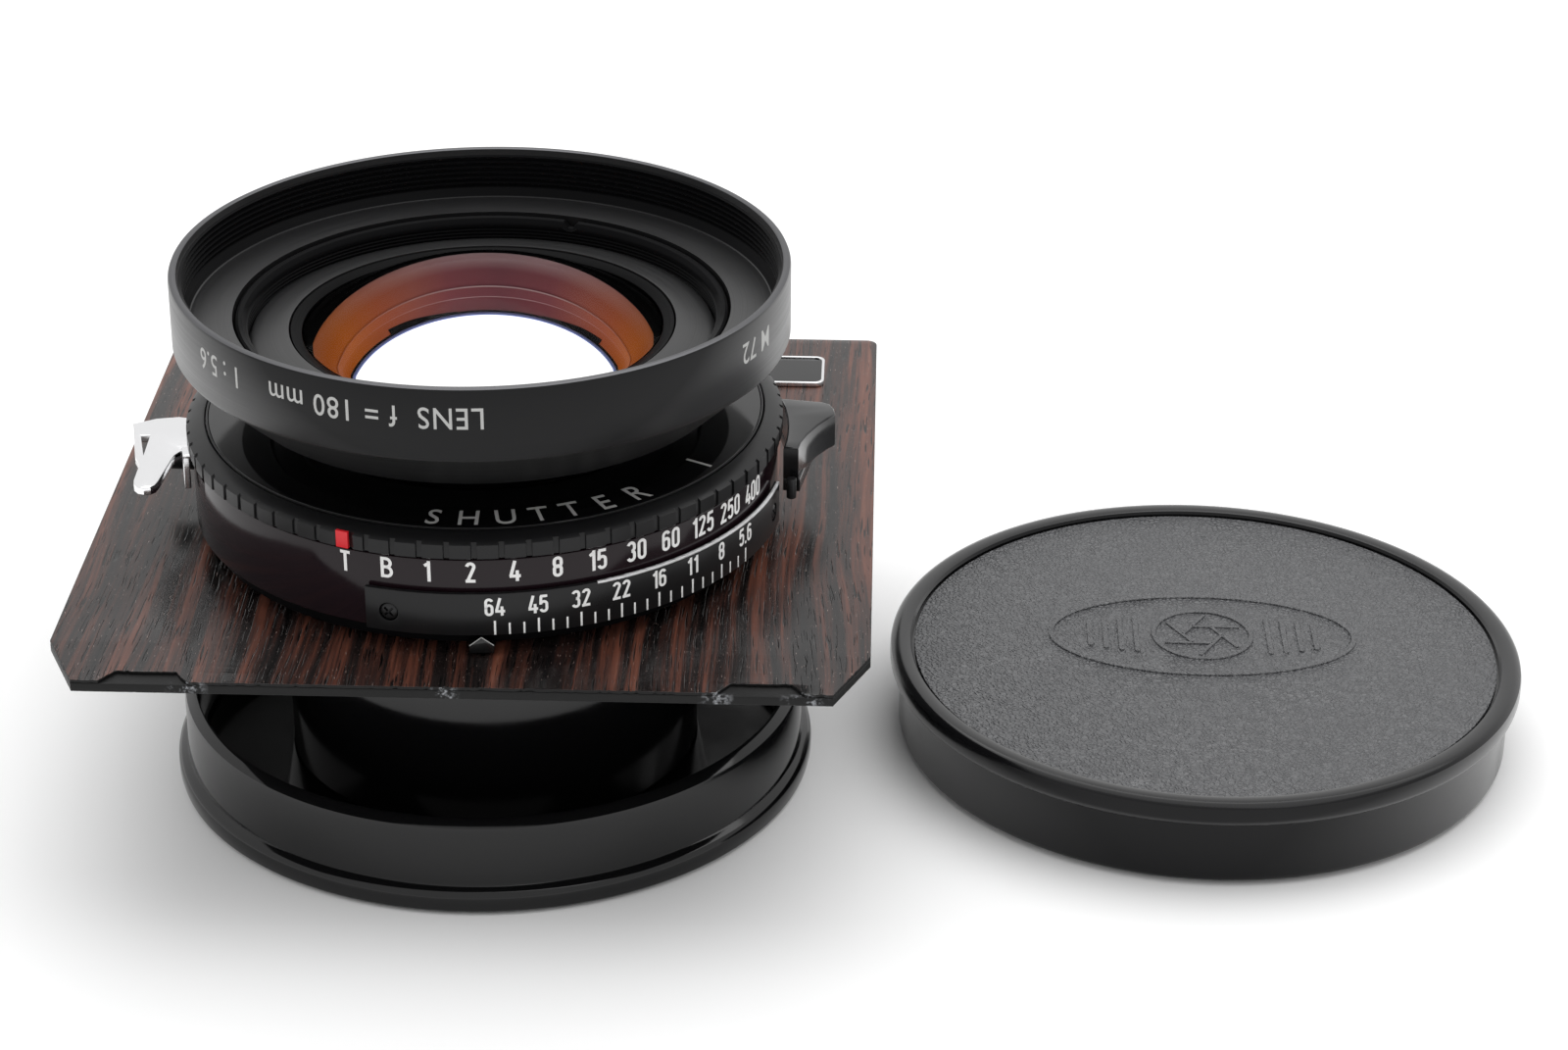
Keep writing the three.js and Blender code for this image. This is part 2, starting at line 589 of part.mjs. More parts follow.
// ---- Caps: a push-on cup with a round bead and a leather-grained panel ----
function capProfile(flip) {
  const { wall, bore, bead, beadHeight, height, chamfer, panel } = CAP;
  const skin = 0.4;
  const seat = CAP_RECESS + skin + 0.05;
  const inside = CAP_RECESS + skin + panel;
  const profile = [
    [0, seat], [bore, seat], [bore, 0.5], [bore + 0.6, 0], [bead - 0.9, 0], [bead, 0.9],
    [bead, beadHeight - 1], [wall, beadHeight], [wall, height - chamfer], [wall - chamfer, height],
    [bore, height], [bore, inside], [0, inside],
  ];
  return profile.map(([r, z]) => [r, flip ? height - z : z]);
}

function addCap(name, flip, place) {
  addPiece(`${name}_shell`, turned(capProfile(flip)), PLASTIC, place);
  const [low, high] = [CAP_RECESS, CAP_RECESS + 0.4];
  const disc = flip ? ring(0, CAP.bore - GAP, CAP.height - high, CAP.height - low)
    : ring(0, CAP.bore - GAP, low, high);
  addPiece(`${name}_panel`, disc, LEATHERETTE, place);
}

addBoard();
addRetainingRing();
addShutterBody();
addMainSpring();
addSyncHousing();
addCableSocket();
addApertureScale();
addFrontGroup();
addRearGroup();
addSpeedRing();
addApertureRing();
addCockingLever();
addReleaseLever();
addPressFocusLever();
addGovernorGear();
addBlades('iris_blade', IRIS, 37.65);
addBlades('shutter_blade', SHUTTER, 40);

addCap('rear_cap', false, {});
addCap('front_cap', true, FRONT_CAP_AT);

export default lens;
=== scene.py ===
"""A view camera lens in a leaf shutter on a wood-faced lens board, with its two caps.

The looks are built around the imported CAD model, in its frame: +Z up along the lens axis, metres.
Sizes below are in millimetres, and angles in degrees anticlockwise from above, where 0 is the
front of the shutter, at -Y.
"""

import math
import random

import bmesh
import bpy
from mathutils import Matrix, Vector


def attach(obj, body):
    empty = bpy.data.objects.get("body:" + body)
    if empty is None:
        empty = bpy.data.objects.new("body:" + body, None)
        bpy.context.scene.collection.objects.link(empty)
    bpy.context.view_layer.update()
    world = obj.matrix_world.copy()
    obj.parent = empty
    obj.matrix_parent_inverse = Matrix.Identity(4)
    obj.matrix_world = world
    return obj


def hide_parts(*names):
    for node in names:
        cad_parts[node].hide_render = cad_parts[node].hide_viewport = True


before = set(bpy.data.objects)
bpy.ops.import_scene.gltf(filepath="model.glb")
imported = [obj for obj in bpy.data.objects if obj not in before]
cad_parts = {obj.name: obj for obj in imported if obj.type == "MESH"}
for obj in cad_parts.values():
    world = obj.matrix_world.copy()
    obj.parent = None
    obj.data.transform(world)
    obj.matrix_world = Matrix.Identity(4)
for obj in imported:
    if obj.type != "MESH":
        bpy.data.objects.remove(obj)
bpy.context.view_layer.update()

MM = 0.001
FINE = 288  # steps round a large ring
MEDIUM = 160  # steps round the inner rings
SHARP = math.radians(32)  # edges bent more than this stay sharp

# ---- Camera ----
CAMERA_AT = (48.0, -412.2, 242.95)
CAMERA_DOWN = 27.044
CAMERA_YAW = -1.55
CAMERA_ROLL = 0.396
FOCAL_LENGTH = 85.09
SENSOR = 36.0

# ---- Sizes of the lens ----
BOARD = dict(width=96, depth=99, centre_y=5.2, bottom=31.85, plate_top=32.95, top=33.35, hole=20.9)
BOARD_CLIP = (4.2, 9.3)
BOARD_CORNER = 1.4
NOTCH = dict(inner=30.4, outer=40.6, depth=2.3, slope=1.6)
BADGE = dict(x=27, y=43.3, width=28, depth=8.6, bottom=33.4, top=34.05, corner=1.2, border=0.4)
BODY = dict(radius=36, bottom=36, top=45.5, wall=1.2, floor=0.8, bore=21.6)
SPEED_RING = dict(radius=36.6, inner=34.3, bottom=45.8, edge=47.95, top=48.55, notch=0.24)
KNURL = dict(pitch=5.0, start=3.6, width=1.07)
FACE_PLATE = dict(inner=23.4, outer=33.9, bottom=47.5, top=48.55)
SCALE = dict(inner=36.3, outer=36.9, bottom=36.1, top=41.5, start=-16.8, end=80.5)
SCREW_ANGLES = {"scale_screw_left": -12.4, "scale_screw_right": 76.5}
SCREW = dict(z=38.6, radius=1.05)
INDEX = dict(start=-22.4, end=-20.0)
RIM = dict(radius=37.5, top=67.8, side=58.85, bore=36.1)
THREAD = dict(top=66.75, pitch=0.72, turns=6, depth=0.42)
CONE = dict(radius=30.3, bottom=52.45)
HOOD_FLOOR = 61.55
LOCK_RING = dict(outer=29.9, inner=28.5, top=61.3, bottom=57.9)
CAP = dict(wall=39.2, bore=37.7, bead=40.5, bead_height=3.2, height=12, chamfer=1.3, panel=1.8, recess=0.6)
FRONT_CAP_AT = (91, 8.8)
SPEED_MARKS = {
    "T": -21.2, "B": -13.1, "1": -5.3, "2": 2.8, "4": 10.9, "8": 18.9, "15": 26.6, "30": 34.7,
    "60": 42.5, "125": 50.8, "250": 59.3, "400": 68.3,
}
STOPS = ["64", "45", "32", "22", "16", "11", "8", "5.6"]
FIRST_STOP = 6.94
STOP_STEP = 7.92
POINTER_ANGLE = 4.42
# Text, spacing of its characters, and angle.
RIM_MARKS = [("1 : 5.6", 1.05, -48.0), ("LENS  f = 180 mm", 1.1, -14.0), ("M 72", 1.05, 65.0)]
# Letters on the face plate, and their angles.
PLATE_MARKS = list(zip("SHUTTER1", (-5.3, 2.2, 10, 17.2, 24.2, 31.8, 40, 60)))
WALL_SLOTS = [(-136, -77, 43.2, 46.5), (-82, -64, 44.5, 46.5), (154, 184, 42.4, 43.3)]  # angles, heights
FLOOR_SLOT = dict(inner=29.6, outer=32.4, start=170, end=241)
CLAMP_SLOTS = (0, 180)
LOCK_RING_SLOTS = (163, 343)
LEVER_HUB = (24.6, 27.2)  # radii of the hubs that turn on the shutter's inner tube
RELEASE_ARM = dict(angle=-76.6, width=2.4, pivot=23.8, reach=37.3)
DOME = dict(radius=38.0, edge=21.6, edge_z=59.0)
DIGIT = dict(width=0.31, stroke=0.145, gap=0.09)  # for a digit one high
EMBLEM = dict(offset=3.2, width=20.0, depth=10.8, line=0.7, hub=6.6, hub_line=0.6)
PAINT = dict(relief=0.025, flat_relief=0.02, sunk=0.01)


# ---- Mesh helpers ----
def at(radius, degrees, z=0.0):
    """A point at an angle from the front, in millimetres."""
    a = math.radians(degrees - 90)
    return Vector((radius * math.cos(a), radius * math.sin(a), z))


def beside(degrees, out, side, z):
    """A point that far out at an angle, and then sideways from there."""
    return at(1, degrees) * out + at(1, degrees + 90) * side + Vector((0, 0, z))


def in_scene(name, data):
    made = bpy.data.objects.new(name, data)
    bpy.context.scene.collection.objects.link(made)
    return made


def mesh_from(name, shape):
    """A mesh from points in millimetres and faces."""
    verts, faces = shape
    mesh = bpy.data.meshes.new(name)
    mesh.from_pydata([Vector(v) * MM for v in verts], [], faces)
    return mesh


def piece(name, shape, material, stands_for=None, body="root"):
    """A visible piece from points and faces, riding on a CAD body."""
    return finish_piece(name, mesh_from(name, shape), material, stands_for, body)


def finish_piece(name, mesh, material, stands_for=None, body="root"):
    clean(mesh)
    mesh.materials.clear()
    mesh.materials.append(material)
    made = in_scene(name, mesh)
    smooth(mesh)
    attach(made, body)
    if stands_for:
        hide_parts(stands_for)
    return made


def repaint(made, material, chosen):
    """Gives another material to the faces that chosen() picks by their middle and their normal."""
    made.data.materials.append(material)
    for polygon in made.data.polygons:
        if chosen(polygon.center / MM, polygon.normal):
            polygon.material_index = len(made.data.materials) - 1


def clean(mesh):
    """Welds coinciding points and turns the faces outward."""
    grid = bmesh.new()
    grid.from_mesh(mesh)
    bmesh.ops.remove_doubles(grid, verts=grid.verts, dist=1e-7)
    bmesh.ops.recalc_face_normals(grid, faces=grid.faces)
    grid.to_mesh(mesh)
    grid.free()


def smooth(mesh):
    mesh.shade_smooth()
    mesh.set_sharp_from_angle(angle=SHARP)


def evaluated_mesh(target):
    graph = bpy.context.evaluated_depsgraph_get()
    return bpy.data.meshes.new_from_object(target.evaluated_get(graph))


def curve_mesh(curve):
    """The mesh that a curve makes, in place of the curve."""
    holder = in_scene(curve.name, curve)
    mesh = evaluated_mesh(holder)
    bpy.data.objects.remove(holder)
    bpy.data.curves.remove(curve)
    return mesh


def bake_modifiers(target):
    """Replaces an object's mesh with its modified one."""
    done = evaluated_mesh(target)
    target.modifiers.clear()
    old = target.data
    target.data = done
    bpy.data.meshes.remove(old)
    smooth(done)


def bevelled(target, width, segments):
    modifier = target.modifiers.new("edges", "BEVEL")
    modifier.width = width * MM
    modifier.segments = segments
    modifier.limit_method = "ANGLE"
    modifier.angle_limit = SHARP
    modifier.use_clamp_overlap = True
    bake_modifiers(target)


def cut(target, shapes):
    """Cuts closed shapes out of a piece."""
    tools = []
    for shape in shapes:
        mesh = mesh_from("tool", shape)
        clean(mesh)
        tools.append(in_scene("tool", mesh))
        modifier = target.modifiers.new("cut", "BOOLEAN")
        modifier.operation = "DIFFERENCE"
        modifier.solver = "EXACT"
        modifier.object = tools[-1]
    bake_modifiers(target)
    for tool in tools:
        mesh = tool.data
        bpy.data.objects.remove(tool)
        bpy.data.meshes.remove(mesh)


def rounded(profile, radius=0.12, steps=3):
    """A closed outline with each corner eased by up to that radius."""
    eased = []
    count = len(profile)
    for i, point in enumerate(profile):
        here = Vector(point)
        before = Vector(profile[i - 1]) - here
        after = Vector(profile[(i + 1) % count]) - here
        if here[0] == 0 or abs(before.normalized().cross(after.normalized())) < 0.02:
            eased.append(tuple(here))
            continue
        start = here + before.normalized() * min(radius, 0.4 * before.length)
        end = here + after.normalized() * min(radius, 0.4 * after.length)
        for k in range(steps + 1):
            t = k / steps
            eased.append(tuple(start * (1 - t) ** 2 + here * 2 * t * (1 - t) + end * t * t))
    return eased


def ring_faces(columns, size, closed=True):
    """Faces between neighbouring outlines of that size, and the two end faces of an open row."""
    faces = []
    for i in range(columns if closed else columns - 1):
        j = (i + 1) % columns
        for k in range(size):
            m = (k + 1) % size
            faces.append([i * size + k, j * size + k, j * size + m, i * size + m])
    if not closed:
        faces.append(list(range(size))[::-1])
        faces.append([(columns - 1) * size + k for k in range(size)])
    return faces


def span(start, end, steps):
    return [start + (end - start) * i / steps for i in range(steps + 1)]


def box(inner, outer, bottom, top):
    """The four corners of a square-cut profile."""
    return [(inner, bottom), (outer, bottom), (outer, top), (inner, top)]


def swept(angles, profiles, closed=True):
    """Points and faces of an outline carried round the axis: one outline for each angle."""
    verts = [at(r, degrees, z) for degrees, outline in zip(angles, profiles) for r, z in outline]
    return verts, ring_faces(len(angles), len(profiles[0]), closed)


def turned(profile, steps=FINE, easing=0.12):
    """Points and faces of a solid of revolution. A profile that touches the axis is closed there."""
    outline = rounded(profile, easing) if easing else profile
    return swept(span(0, 360, steps)[:-1], [outline] * steps)


def part_turned(outline, start, end, steps):
    """Points and faces of an outline carried from one angle to another."""
    return swept(span(start, end, steps), [outline] * (steps + 1), closed=False)


def curved_block(start, end, inner, outer, bottom, top, steps=6, easing=0.05):
    return part_turned(rounded(box(inner, outer, bottom, top), easing, 2), start, end, steps)


def ring(name, profile, material, stands_for=None, steps=FINE, easing=0.0):
    """A turned piece that stands still."""
    return piece(name, turned(profile, steps, easing), material, stands_for)


def prism(outline, depths, place):
    """Points and faces of an outline carried between two depths; place(a, b, depth) gives a point."""
    verts = [place(a, b, depth) for depth in depths for a, b in outline]
    return verts, ring_faces(2, len(outline), closed=False)


def moved(shape, offset):
    verts, faces = shape
    return [Vector(v) + Vector(offset) for v in verts], faces


def joined(shapes):
    verts, faces = [], []
    for some_verts, some_faces in shapes:
        base = len(verts)
        verts += list(some_verts)
        faces += [[base + i for i in face] for face in some_faces]
    return verts, faces


def plate_mesh(name, outlines, bottom, top, bevel=0.1):
    """A flat plate from closed outlines in plan, where the ones inside the first are holes."""
    curve = bpy.data.curves.new(name, "CURVE")
    curve.dimensions = "2D"
    curve.fill_mode = "BOTH"
    curve.bevel_depth = bevel * MM
    curve.bevel_resolution = 2
    curve.offset = -bevel * MM
    curve.extrude = ((top - bottom) / 2 - bevel) * MM
    for outline in outlines:
        spline = curve.splines.new("POLY")
        spline.points.add(len(outline) - 1)
        for point, place in zip(spline.points, outline):
            point.co = (place[0] * MM, place[1] * MM, 0, 1)
        spline.use_cyclic_u = True
    mesh = curve_mesh(curve)
    mesh.transform(Matrix.Translation((0, 0, (top + bottom) / 2 * MM)))
    return mesh


def circle(radius, steps=FINE):
    return [tuple(at(radius, 360 * i / steps).xy) for i in range(steps)]


def arc(centre, radius, start, end, steps=8):
    turns = [math.radians(degrees) for degrees in span(start, end, steps)]
    return [(centre[0] + radius * math.cos(a), centre[1] + radius * math.sin(a)) for a in turns]


def rounded_rectangle(centre, width, depth, corner):
    x, y = centre
    w, d = width / 2 - corner, depth / 2 - corner
    points = []
    for start, side, end in ((-90, 1, -1), (0, 1, 1), (90, -1, 1), (180, -1, -1)):
        points += arc((x + side * w, y + end * d), corner, start, start + 90)
    return points


def radial_rod(profile, degrees, z, steps=48):
    """A solid of revolution whose axis points outward: profile pairs are (radius, distance out)."""
    verts = []
    for a in (2 * math.pi * i / steps for i in range(steps)):
        verts += [beside(degrees, out, r * math.cos(a), z + r * math.sin(a)) for r, out in profile]
    return verts, ring_faces(steps, len(profile))


CAPITAL = 0.7  # height of a capital in the built-in font, for a size of 1
THICKENED = 0.004  # how much the strokes of the built-in font grow


def glyphs(text, height, condense, spacing=1.0):
    """Flat characters as points (x, y, depth) and faces, centred, with capitals that high."""
    curve = bpy.data.curves.new("characters", "FONT")
    curve.body = text
    curve.size = 1
    curve.space_character = spacing
    curve.align_x = "CENTER"
    curve.offset = THICKENED
    curve.extrude = 0.5
    curve.resolution_u = 4
    mesh = curve_mesh(curve)
    scale = height / CAPITAL
    verts = [(v.co.x * scale * condense, (v.co.y - CAPITAL / 2) * scale, v.co.z) for v in mesh.vertices]
    faces = [list(p.vertices) for p in mesh.polygons]
    bpy.data.meshes.remove(mesh)
    return verts, faces


def ribbon(points, width, closed=False):
    """A flat stroke along a line, as points (x, y, depth) and faces."""
    count = len(points)
    verts, faces = [], []
    for i, (x, y) in enumerate(points):
        before = points[i - 1] if closed or i else points[i]
        after = points[(i + 1) % count] if closed or i < count - 1 else points[i]
        along = Vector((after[0] - before[0], after[1] - before[1])).normalized()
        side = Vector((-along.y, along.x)) * width / 2
        for sign in (-1, 1):
            for depth in (-0.5, 0.5):
                verts.append((x + sign * side.x, y + sign * side.y, depth))
    for i in range(count if closed else count - 1):
        a, b = 4 * i, 4 * ((i + 1) % count)
        for k, m in ((0, 1), (1, 3), (3, 2), (2, 0)):
            faces.append([a + k, a + m, b + m, b + k])
    if not closed:
        faces.append([0, 2, 3, 1])
        end = 4 * (count - 1)
        faces.append([end, end + 1, end + 3, end + 2])
    return verts, faces


def dial_strokes(width, thick):
    """Centre lines of the condensed dial characters, one high: (points, closed) for each stroke."""
    low, high, turn, waist = thick / 2, 1 - thick / 2, width / 2, 0.52

    def bow(y, start, end):
        return arc((turn, y), turn, start, end, 10)

    def loop(bottom, top):
        return bow(top - turn, 0, 180) + bow(bottom + turn, 180, 360), True

    def line(*points):
        return list(points), False

    def belly(bottom, top, reach):
        half = (top - bottom) / 2
        return line((0, top), (turn, top), *arc((turn + reach, top - half), half, 90, -90, 10), (0, bottom))

    return {
        "0": [loop(low, high)],
        "1": [line((0.01, 0.76), (0.2, 0.9)), line((0.2, 0), (0.2, 1))],
        "2": [line(*bow(high - turn, 175, -25), (0.02, low)), line((-thick / 2, low), (width + 0.05, low))],
        "3": [line(*bow(high - turn, 165, 0), *bow(waist + turn, 0, -90)),
              line(*bow(waist - turn, 90, 0), *bow(low + turn, 0, -165))],
        "4": [line((0.17, 1), (-0.02, 0.27)), line((-0.08, 0.25), (width + 0.1, 0.25)),
              line((width - 0.05, 0.52), (width - 0.05, 0))],
        "5": [line((-0.02, high), (width + 0.03, high)), line((0.02, high), (0.0, 0.46)),
              line(*bow(0.62 - turn, 150, 0), *bow(low + turn, 0, -170))],
        "6": [loop(low, 0.6), line((0, 0.4), *bow(high - turn, 180, 15))],
        "8": [loop(low, waist + 0.02), loop(waist - 0.02, high)],
        ".": [line((0.0, 0), (0.0, thick))],
        "T": [line((-0.08, high), (width + 0.08, high)), line((turn, high), (turn, 0))],
        "B": [line((0, 0), (0, 1)), belly(waist, high, 0.02), belly(low, waist, 0.04)],
    }


def dial_text(text, height):
    """Numbers for a dial, centred, as points (x, y, depth) and faces."""
    width, thick, gap = DIGIT.values()
    strokes = dial_strokes(width, thick)
    shapes, pen = [], 0.0
    for character in text:
        for points, closed in strokes[character]:
            verts, faces = ribbon(points, thick, closed)
            shapes.append(([(x + pen, y, depth) for x, y, depth in verts], faces))
        pen += {"1": 0.2, ".": 0.0}.get(character, width) + thick + gap
    verts, faces = joined(shapes)
    middle = (pen - thick - gap) / 2
    return [((x - middle) * height, (y - 0.5) * height, depth) for x, y, depth in verts], faces


def wrapped(shape, degrees, z, radius, turn=1):
    """Characters laid round a cylinder. A turn of -1 stands them on their head."""
    verts, faces = shape
    laid = []
    for x, y, depth in verts:
        angle = degrees + turn * math.degrees(x / radius)
        laid.append(at(radius + PAINT["relief"] * (depth + 0.5) - PAINT["sunk"], angle, z + turn * y))
    return laid, faces


def flat_round(shape, degrees, radius, z):
    """Characters laid on a flat ring, with their tops towards the axis."""
    verts, faces = shape
    base = z - PAINT["sunk"]
    return [beside(degrees, radius - y, x, base + PAINT["flat_relief"] * (depth + 0.5))
            for x, y, depth in verts], faces


# ---- Material helpers ----
def node(tree, kind, inputs=None, output=0, **settings):
    made = tree.nodes.new(kind)
    for key, value in settings.items():
        setattr(made, key, value)
    for key, value in (inputs or {}).items():
        if isinstance(value, bpy.types.NodeSocket):
            tree.links.new(value, made.inputs[key])
        else:
            made.inputs[key].default_value = value
    return made.outputs[output]


def new_material(name, color, roughness, **sockets):
    """A Principled material. Sockets are named with underscores for spaces."""
    made = bpy.data.materials.new(name)
    made.use_nodes = True
    shader = made.node_tree.nodes["Principled BSDF"]
    shader.inputs["Base Color"].default_value = (*color, 1)
    shader.inputs["Roughness"].default_value = roughness
    for key, value in sockets.items():
        shader.inputs[key.replace("_", " ")].default_value = value
    return made, made.node_tree, shader


def object_coords(tree):
    return node(tree, "ShaderNodeTexCoord", output=3)


def maths(tree, operation, first, second=0.0):
    return node(tree, "ShaderNodeMath", {0: first, 1: second}, operation=operation)


def vector_maths(tree, operation, first, second):
    return node(tree, "ShaderNodeVectorMath", {0: first, 1: second}, operation=operation)


def axes(tree, vector):
    """The X, Y and Z outputs of a vector."""
    made = tree.nodes.new("ShaderNodeSeparateXYZ")
    tree.links.new(vector, made.inputs[0])
    return made.outputs


def distance_out(tree, place):
    """Distance from the lens axis."""
    flat = vector_maths(tree, "MULTIPLY", place, (1, 1, 0))
    return node(tree, "ShaderNodeVectorMath", {0: flat}, output=1, operation="LENGTH")


def noise(tree, vector, scale, detail=3.0, roughness=0.5):
    return node(tree, "ShaderNodeTexNoise",
                {"Vector": vector, "Scale": scale, "Detail": detail, "Roughness": roughness})


def stretched_noise(tree, vector, factors, detail, roughness=0.5):
    """Noise with its own scale along each axis."""
    return noise(tree, vector_maths(tree, "MULTIPLY", vector, factors), 1, detail, roughness)


def ramp(tree, value, low, high, from_low=0.0, from_high=1.0):
    return node(tree, "ShaderNodeMapRange", {
        "Value": value, "From Min": from_low, "From Max": from_high, "To Min": low, "To Max": high,
    })


def facing_away(tree):
    """0 where a surface is seen square on, and 1 at a grazing angle."""
    return node(tree, "ShaderNodeLayerWeight", {"Blend": 0.5}, output=1)


def colours(tree, value, stops):
    made = tree.nodes.new("ShaderNodeValToRGB")
    tree.links.new(value, made.inputs[0])
    bar = made.color_ramp.elements
    while len(bar) < len(stops):
        bar.new(0.5)
    for element, (place, colour) in zip(bar, stops):
        element.position = place
        element.color = (*colour, 1)
    return made.outputs[0]


def mixed(tree, factor, first, second):
    """Mixes two colours, of which either may be a plain colour."""
    made = tree.nodes.new("ShaderNodeMix")
    made.data_type = "RGBA"
    tree.links.new(factor, made.inputs[0])
    for slot, value in ((6, first), (7, second)):
        if isinstance(value, bpy.types.NodeSocket):
            tree.links.new(value, made.inputs[slot])
        else:
            made.inputs[slot].default_value = (*value, 1)
    return made.outputs[2]


def add_bump(tree, shader, height, depth, after=None):
    """Raises a height by a depth in millimetres, on top of another bump if there is one."""
    inputs = {"Height": height, "Distance": depth * MM, "Strength": 1.0}
    if after is not None:
        inputs["Normal"] = after
    made = node(tree, "ShaderNodeBump", inputs)
    tree.links.new(made, shader.inputs["Normal"])
    return made


def vary_roughness(tree, shader, value, low, high, from_low=0.3, from_high=0.7):
    tree.links.new(ramp(tree, value, low, high, from_low, from_high), shader.inputs["Roughness"])


def lathe_coords(tree):
    """Radius, height and a little of the angle, so that noise becomes fine turning marks."""
    place = object_coords(tree)
    x, _, z = axes(tree, place)
    along = maths(tree, "MULTIPLY", x, 8 * MM)
    return node(tree, "ShaderNodeCombineXYZ", {0: distance_out(tree, place), 1: z, 2: along})


def speckled(name, color, roughness, grain=0.15, relief=0.004, spread=0.08, **sockets):
    """A painted or moulded surface: fine bump, and a roughness that drifts and shows handling."""
    made, tree, shader = new_material(name, color, roughness, **sockets)
    place = object_coords(tree)
    drift = noise(tree, place, 90, 4, 0.6)
    vary_roughness(tree, shader, drift, roughness - spread, roughness + spread)
    add_bump(tree, shader, noise(tree, place, 1 / (grain * MM), 2), relief)
    return made


def with_sheen(material, low, high, start=0.3, end=0.85):
    """Makes a gloss grow from square on to grazing, as lacquer over black does."""
    tree = material.node_tree
    shine = ramp(tree, facing_away(tree), low, high, start, end)
    tree.links.new(shine, tree.nodes["Principled BSDF"].inputs["Specular IOR Level"])
    return material


def lathe_finish(name, color, roughness, relief=0.003, **sockets):
    """A turned surface: marks that run round the axis, under the finish."""
    made, tree, shader = new_material(name, color, roughness, **sockets)
    marks = noise(tree, lathe_coords(tree), 9000, 3, 0.6)
    vary_roughness(tree, shader, marks, roughness - 0.06, roughness + 0.06)
    under = add_bump(tree, shader, marks, relief)
    add_bump(tree, shader, noise(tree, object_coords(tree), 5200, 2), relief, under)
    return made


# ---- Materials ----
def veneer_material():
    """Dark open-pored veneer, its streaks and pores running from front to back, with pale specks painted in
    as glints.
    """
    made, tree, shader = new_material("veneer", (0.05, 0.02, 0.012), 0.3, Specular_IOR_Level=0.5)
    place = object_coords(tree)
    drift = stretched_noise(tree, place, (40, 14, 1), 2)
    sideways = node(tree, "ShaderNodeCombineXYZ", {0: maths(tree, "MULTIPLY", drift, 0.006), 1: 0.47})
    bent = vector_maths(tree, "ADD", place, sideways)
    streaks = stretched_noise(tree, bent, (400, 9, 1), 5, 0.62)
    lines = stretched_noise(tree, bent, (1700, 45, 1), 4, 0.65)
    wood = colours(tree, maths(tree, "ADD", streaks, ramp(tree, lines, -0.16, 0.16)), [
        (0.36, (0.004, 0.0035, 0.0035)), (0.46, (0.012, 0.008, 0.0075)), (0.54, (0.042, 0.0165, 0.012)),
        (0.63, (0.115, 0.038, 0.023)), (0.80, (0.21, 0.085, 0.053)),
    ])
    open_pore = ramp(tree, stretched_noise(tree, bent, (3900, 170, 1), 1), 1, 0, 0.33, 0.40)
    dark = mixed(tree, open_pore, wood, (0.002, 0.0015, 0.0015))
    # Painted highlight: pale specks mixed into the base colour stand in for glints.
    painted_glints = ramp(tree, stretched_noise(tree, place, (5200, 700, 1), 2, 0.7), 0, 1, 0.66, 0.74)
    tree.links.new(mixed(tree, painted_glints, dark, (0.26, 0.20, 0.18)), shader.inputs["Base Color"])
    vary_roughness(tree, shader, streaks, 0.18, 0.34)
    add_bump(tree, shader, lines, 0.012, add_bump(tree, shader, open_pore, -0.05))
    return made


def edge_material():
    """Black enamel of the board, scuffed to pale fibres along the front edge."""
    enamel = (0.008, 0.008, 0.008)
    made, tree, shader = new_material("board_edge", enamel, 0.45, Specular_IOR_Level=0.2)
    place = object_coords(tree)
    x, y, _ = axes(tree, place)
    front = BOARD["centre_y"] - BOARD["depth"] / 2
    near = ramp(tree, y, 1, 0, (front - 0.1) * MM, (front + 0.9) * MM)
    inner, outer = NOTCH["inner"], NOTCH["outer"]
    spots = None
    for middle, reach in ((-48, 4), (-inner, 2.6), (-0.7, 1.8), (inner, 2.2), (outer, 3)):
        away = maths(tree, "ABSOLUTE", maths(tree, "SUBTRACT", x, middle * MM))
        spot = ramp(tree, away, 1, 0, 0.4 * MM, reach * MM)
        spots = spot if spots is None else maths(tree, "MAXIMUM", spots, spot)
    patches = ramp(tree, noise(tree, place, 900, 5, 0.75), 0, 1, 0.50, 0.62)
    worn = maths(tree, "MULTIPLY", near, maths(tree, "MULTIPLY", patches, spots))
    tree.links.new(mixed(tree, worn, enamel, (0.35, 0.36, 0.38)), shader.inputs["Base Color"])
    add_bump(tree, shader, noise(tree, place, 3000, 4, 0.6), 0.04)
    return made


def leather_material():
    """Leather-like grain moulded into black plastic: rounded pebbles between fine creases."""
    made, tree, shader = new_material("cap_grain", (0.056, 0.057, 0.061), 0.36, Specular_IOR_Level=0.8)
    place = object_coords(tree)
    wobble = node(tree, "ShaderNodeTexNoise", {"Vector": place, "Scale": 600.0}, output=1)
    bent = vector_maths(tree, "ADD", place, vector_maths(tree, "MULTIPLY", wobble, (0.0009, 0.0009, 0.0009)))
    cells = node(tree, "ShaderNodeTexVoronoi", {"Vector": bent, "Scale": 1600.0}, feature="DISTANCE_TO_EDGE")
    vary_roughness(tree, shader, noise(tree, place, 90, 4, 0.6), 0.24, 0.46)
    under = add_bump(tree, shader, ramp(tree, cells, 0, 1, 0.0, 0.25), 0.13)
    add_bump(tree, shader, noise(tree, place, 5200, 3), 0.02, under)
    return made


def glass_material(name, index):
    """Polished optical glass, with a little dust on it."""
    made, tree, shader = new_material(name, (1, 1, 1), 0.0, IOR=index, Transmission_Weight=1.0)
    vary_roughness(tree, shader, noise(tree, object_coords(tree), 700, 4, 0.7), 0.0, 0.012, 0.45, 0.8)
    return made


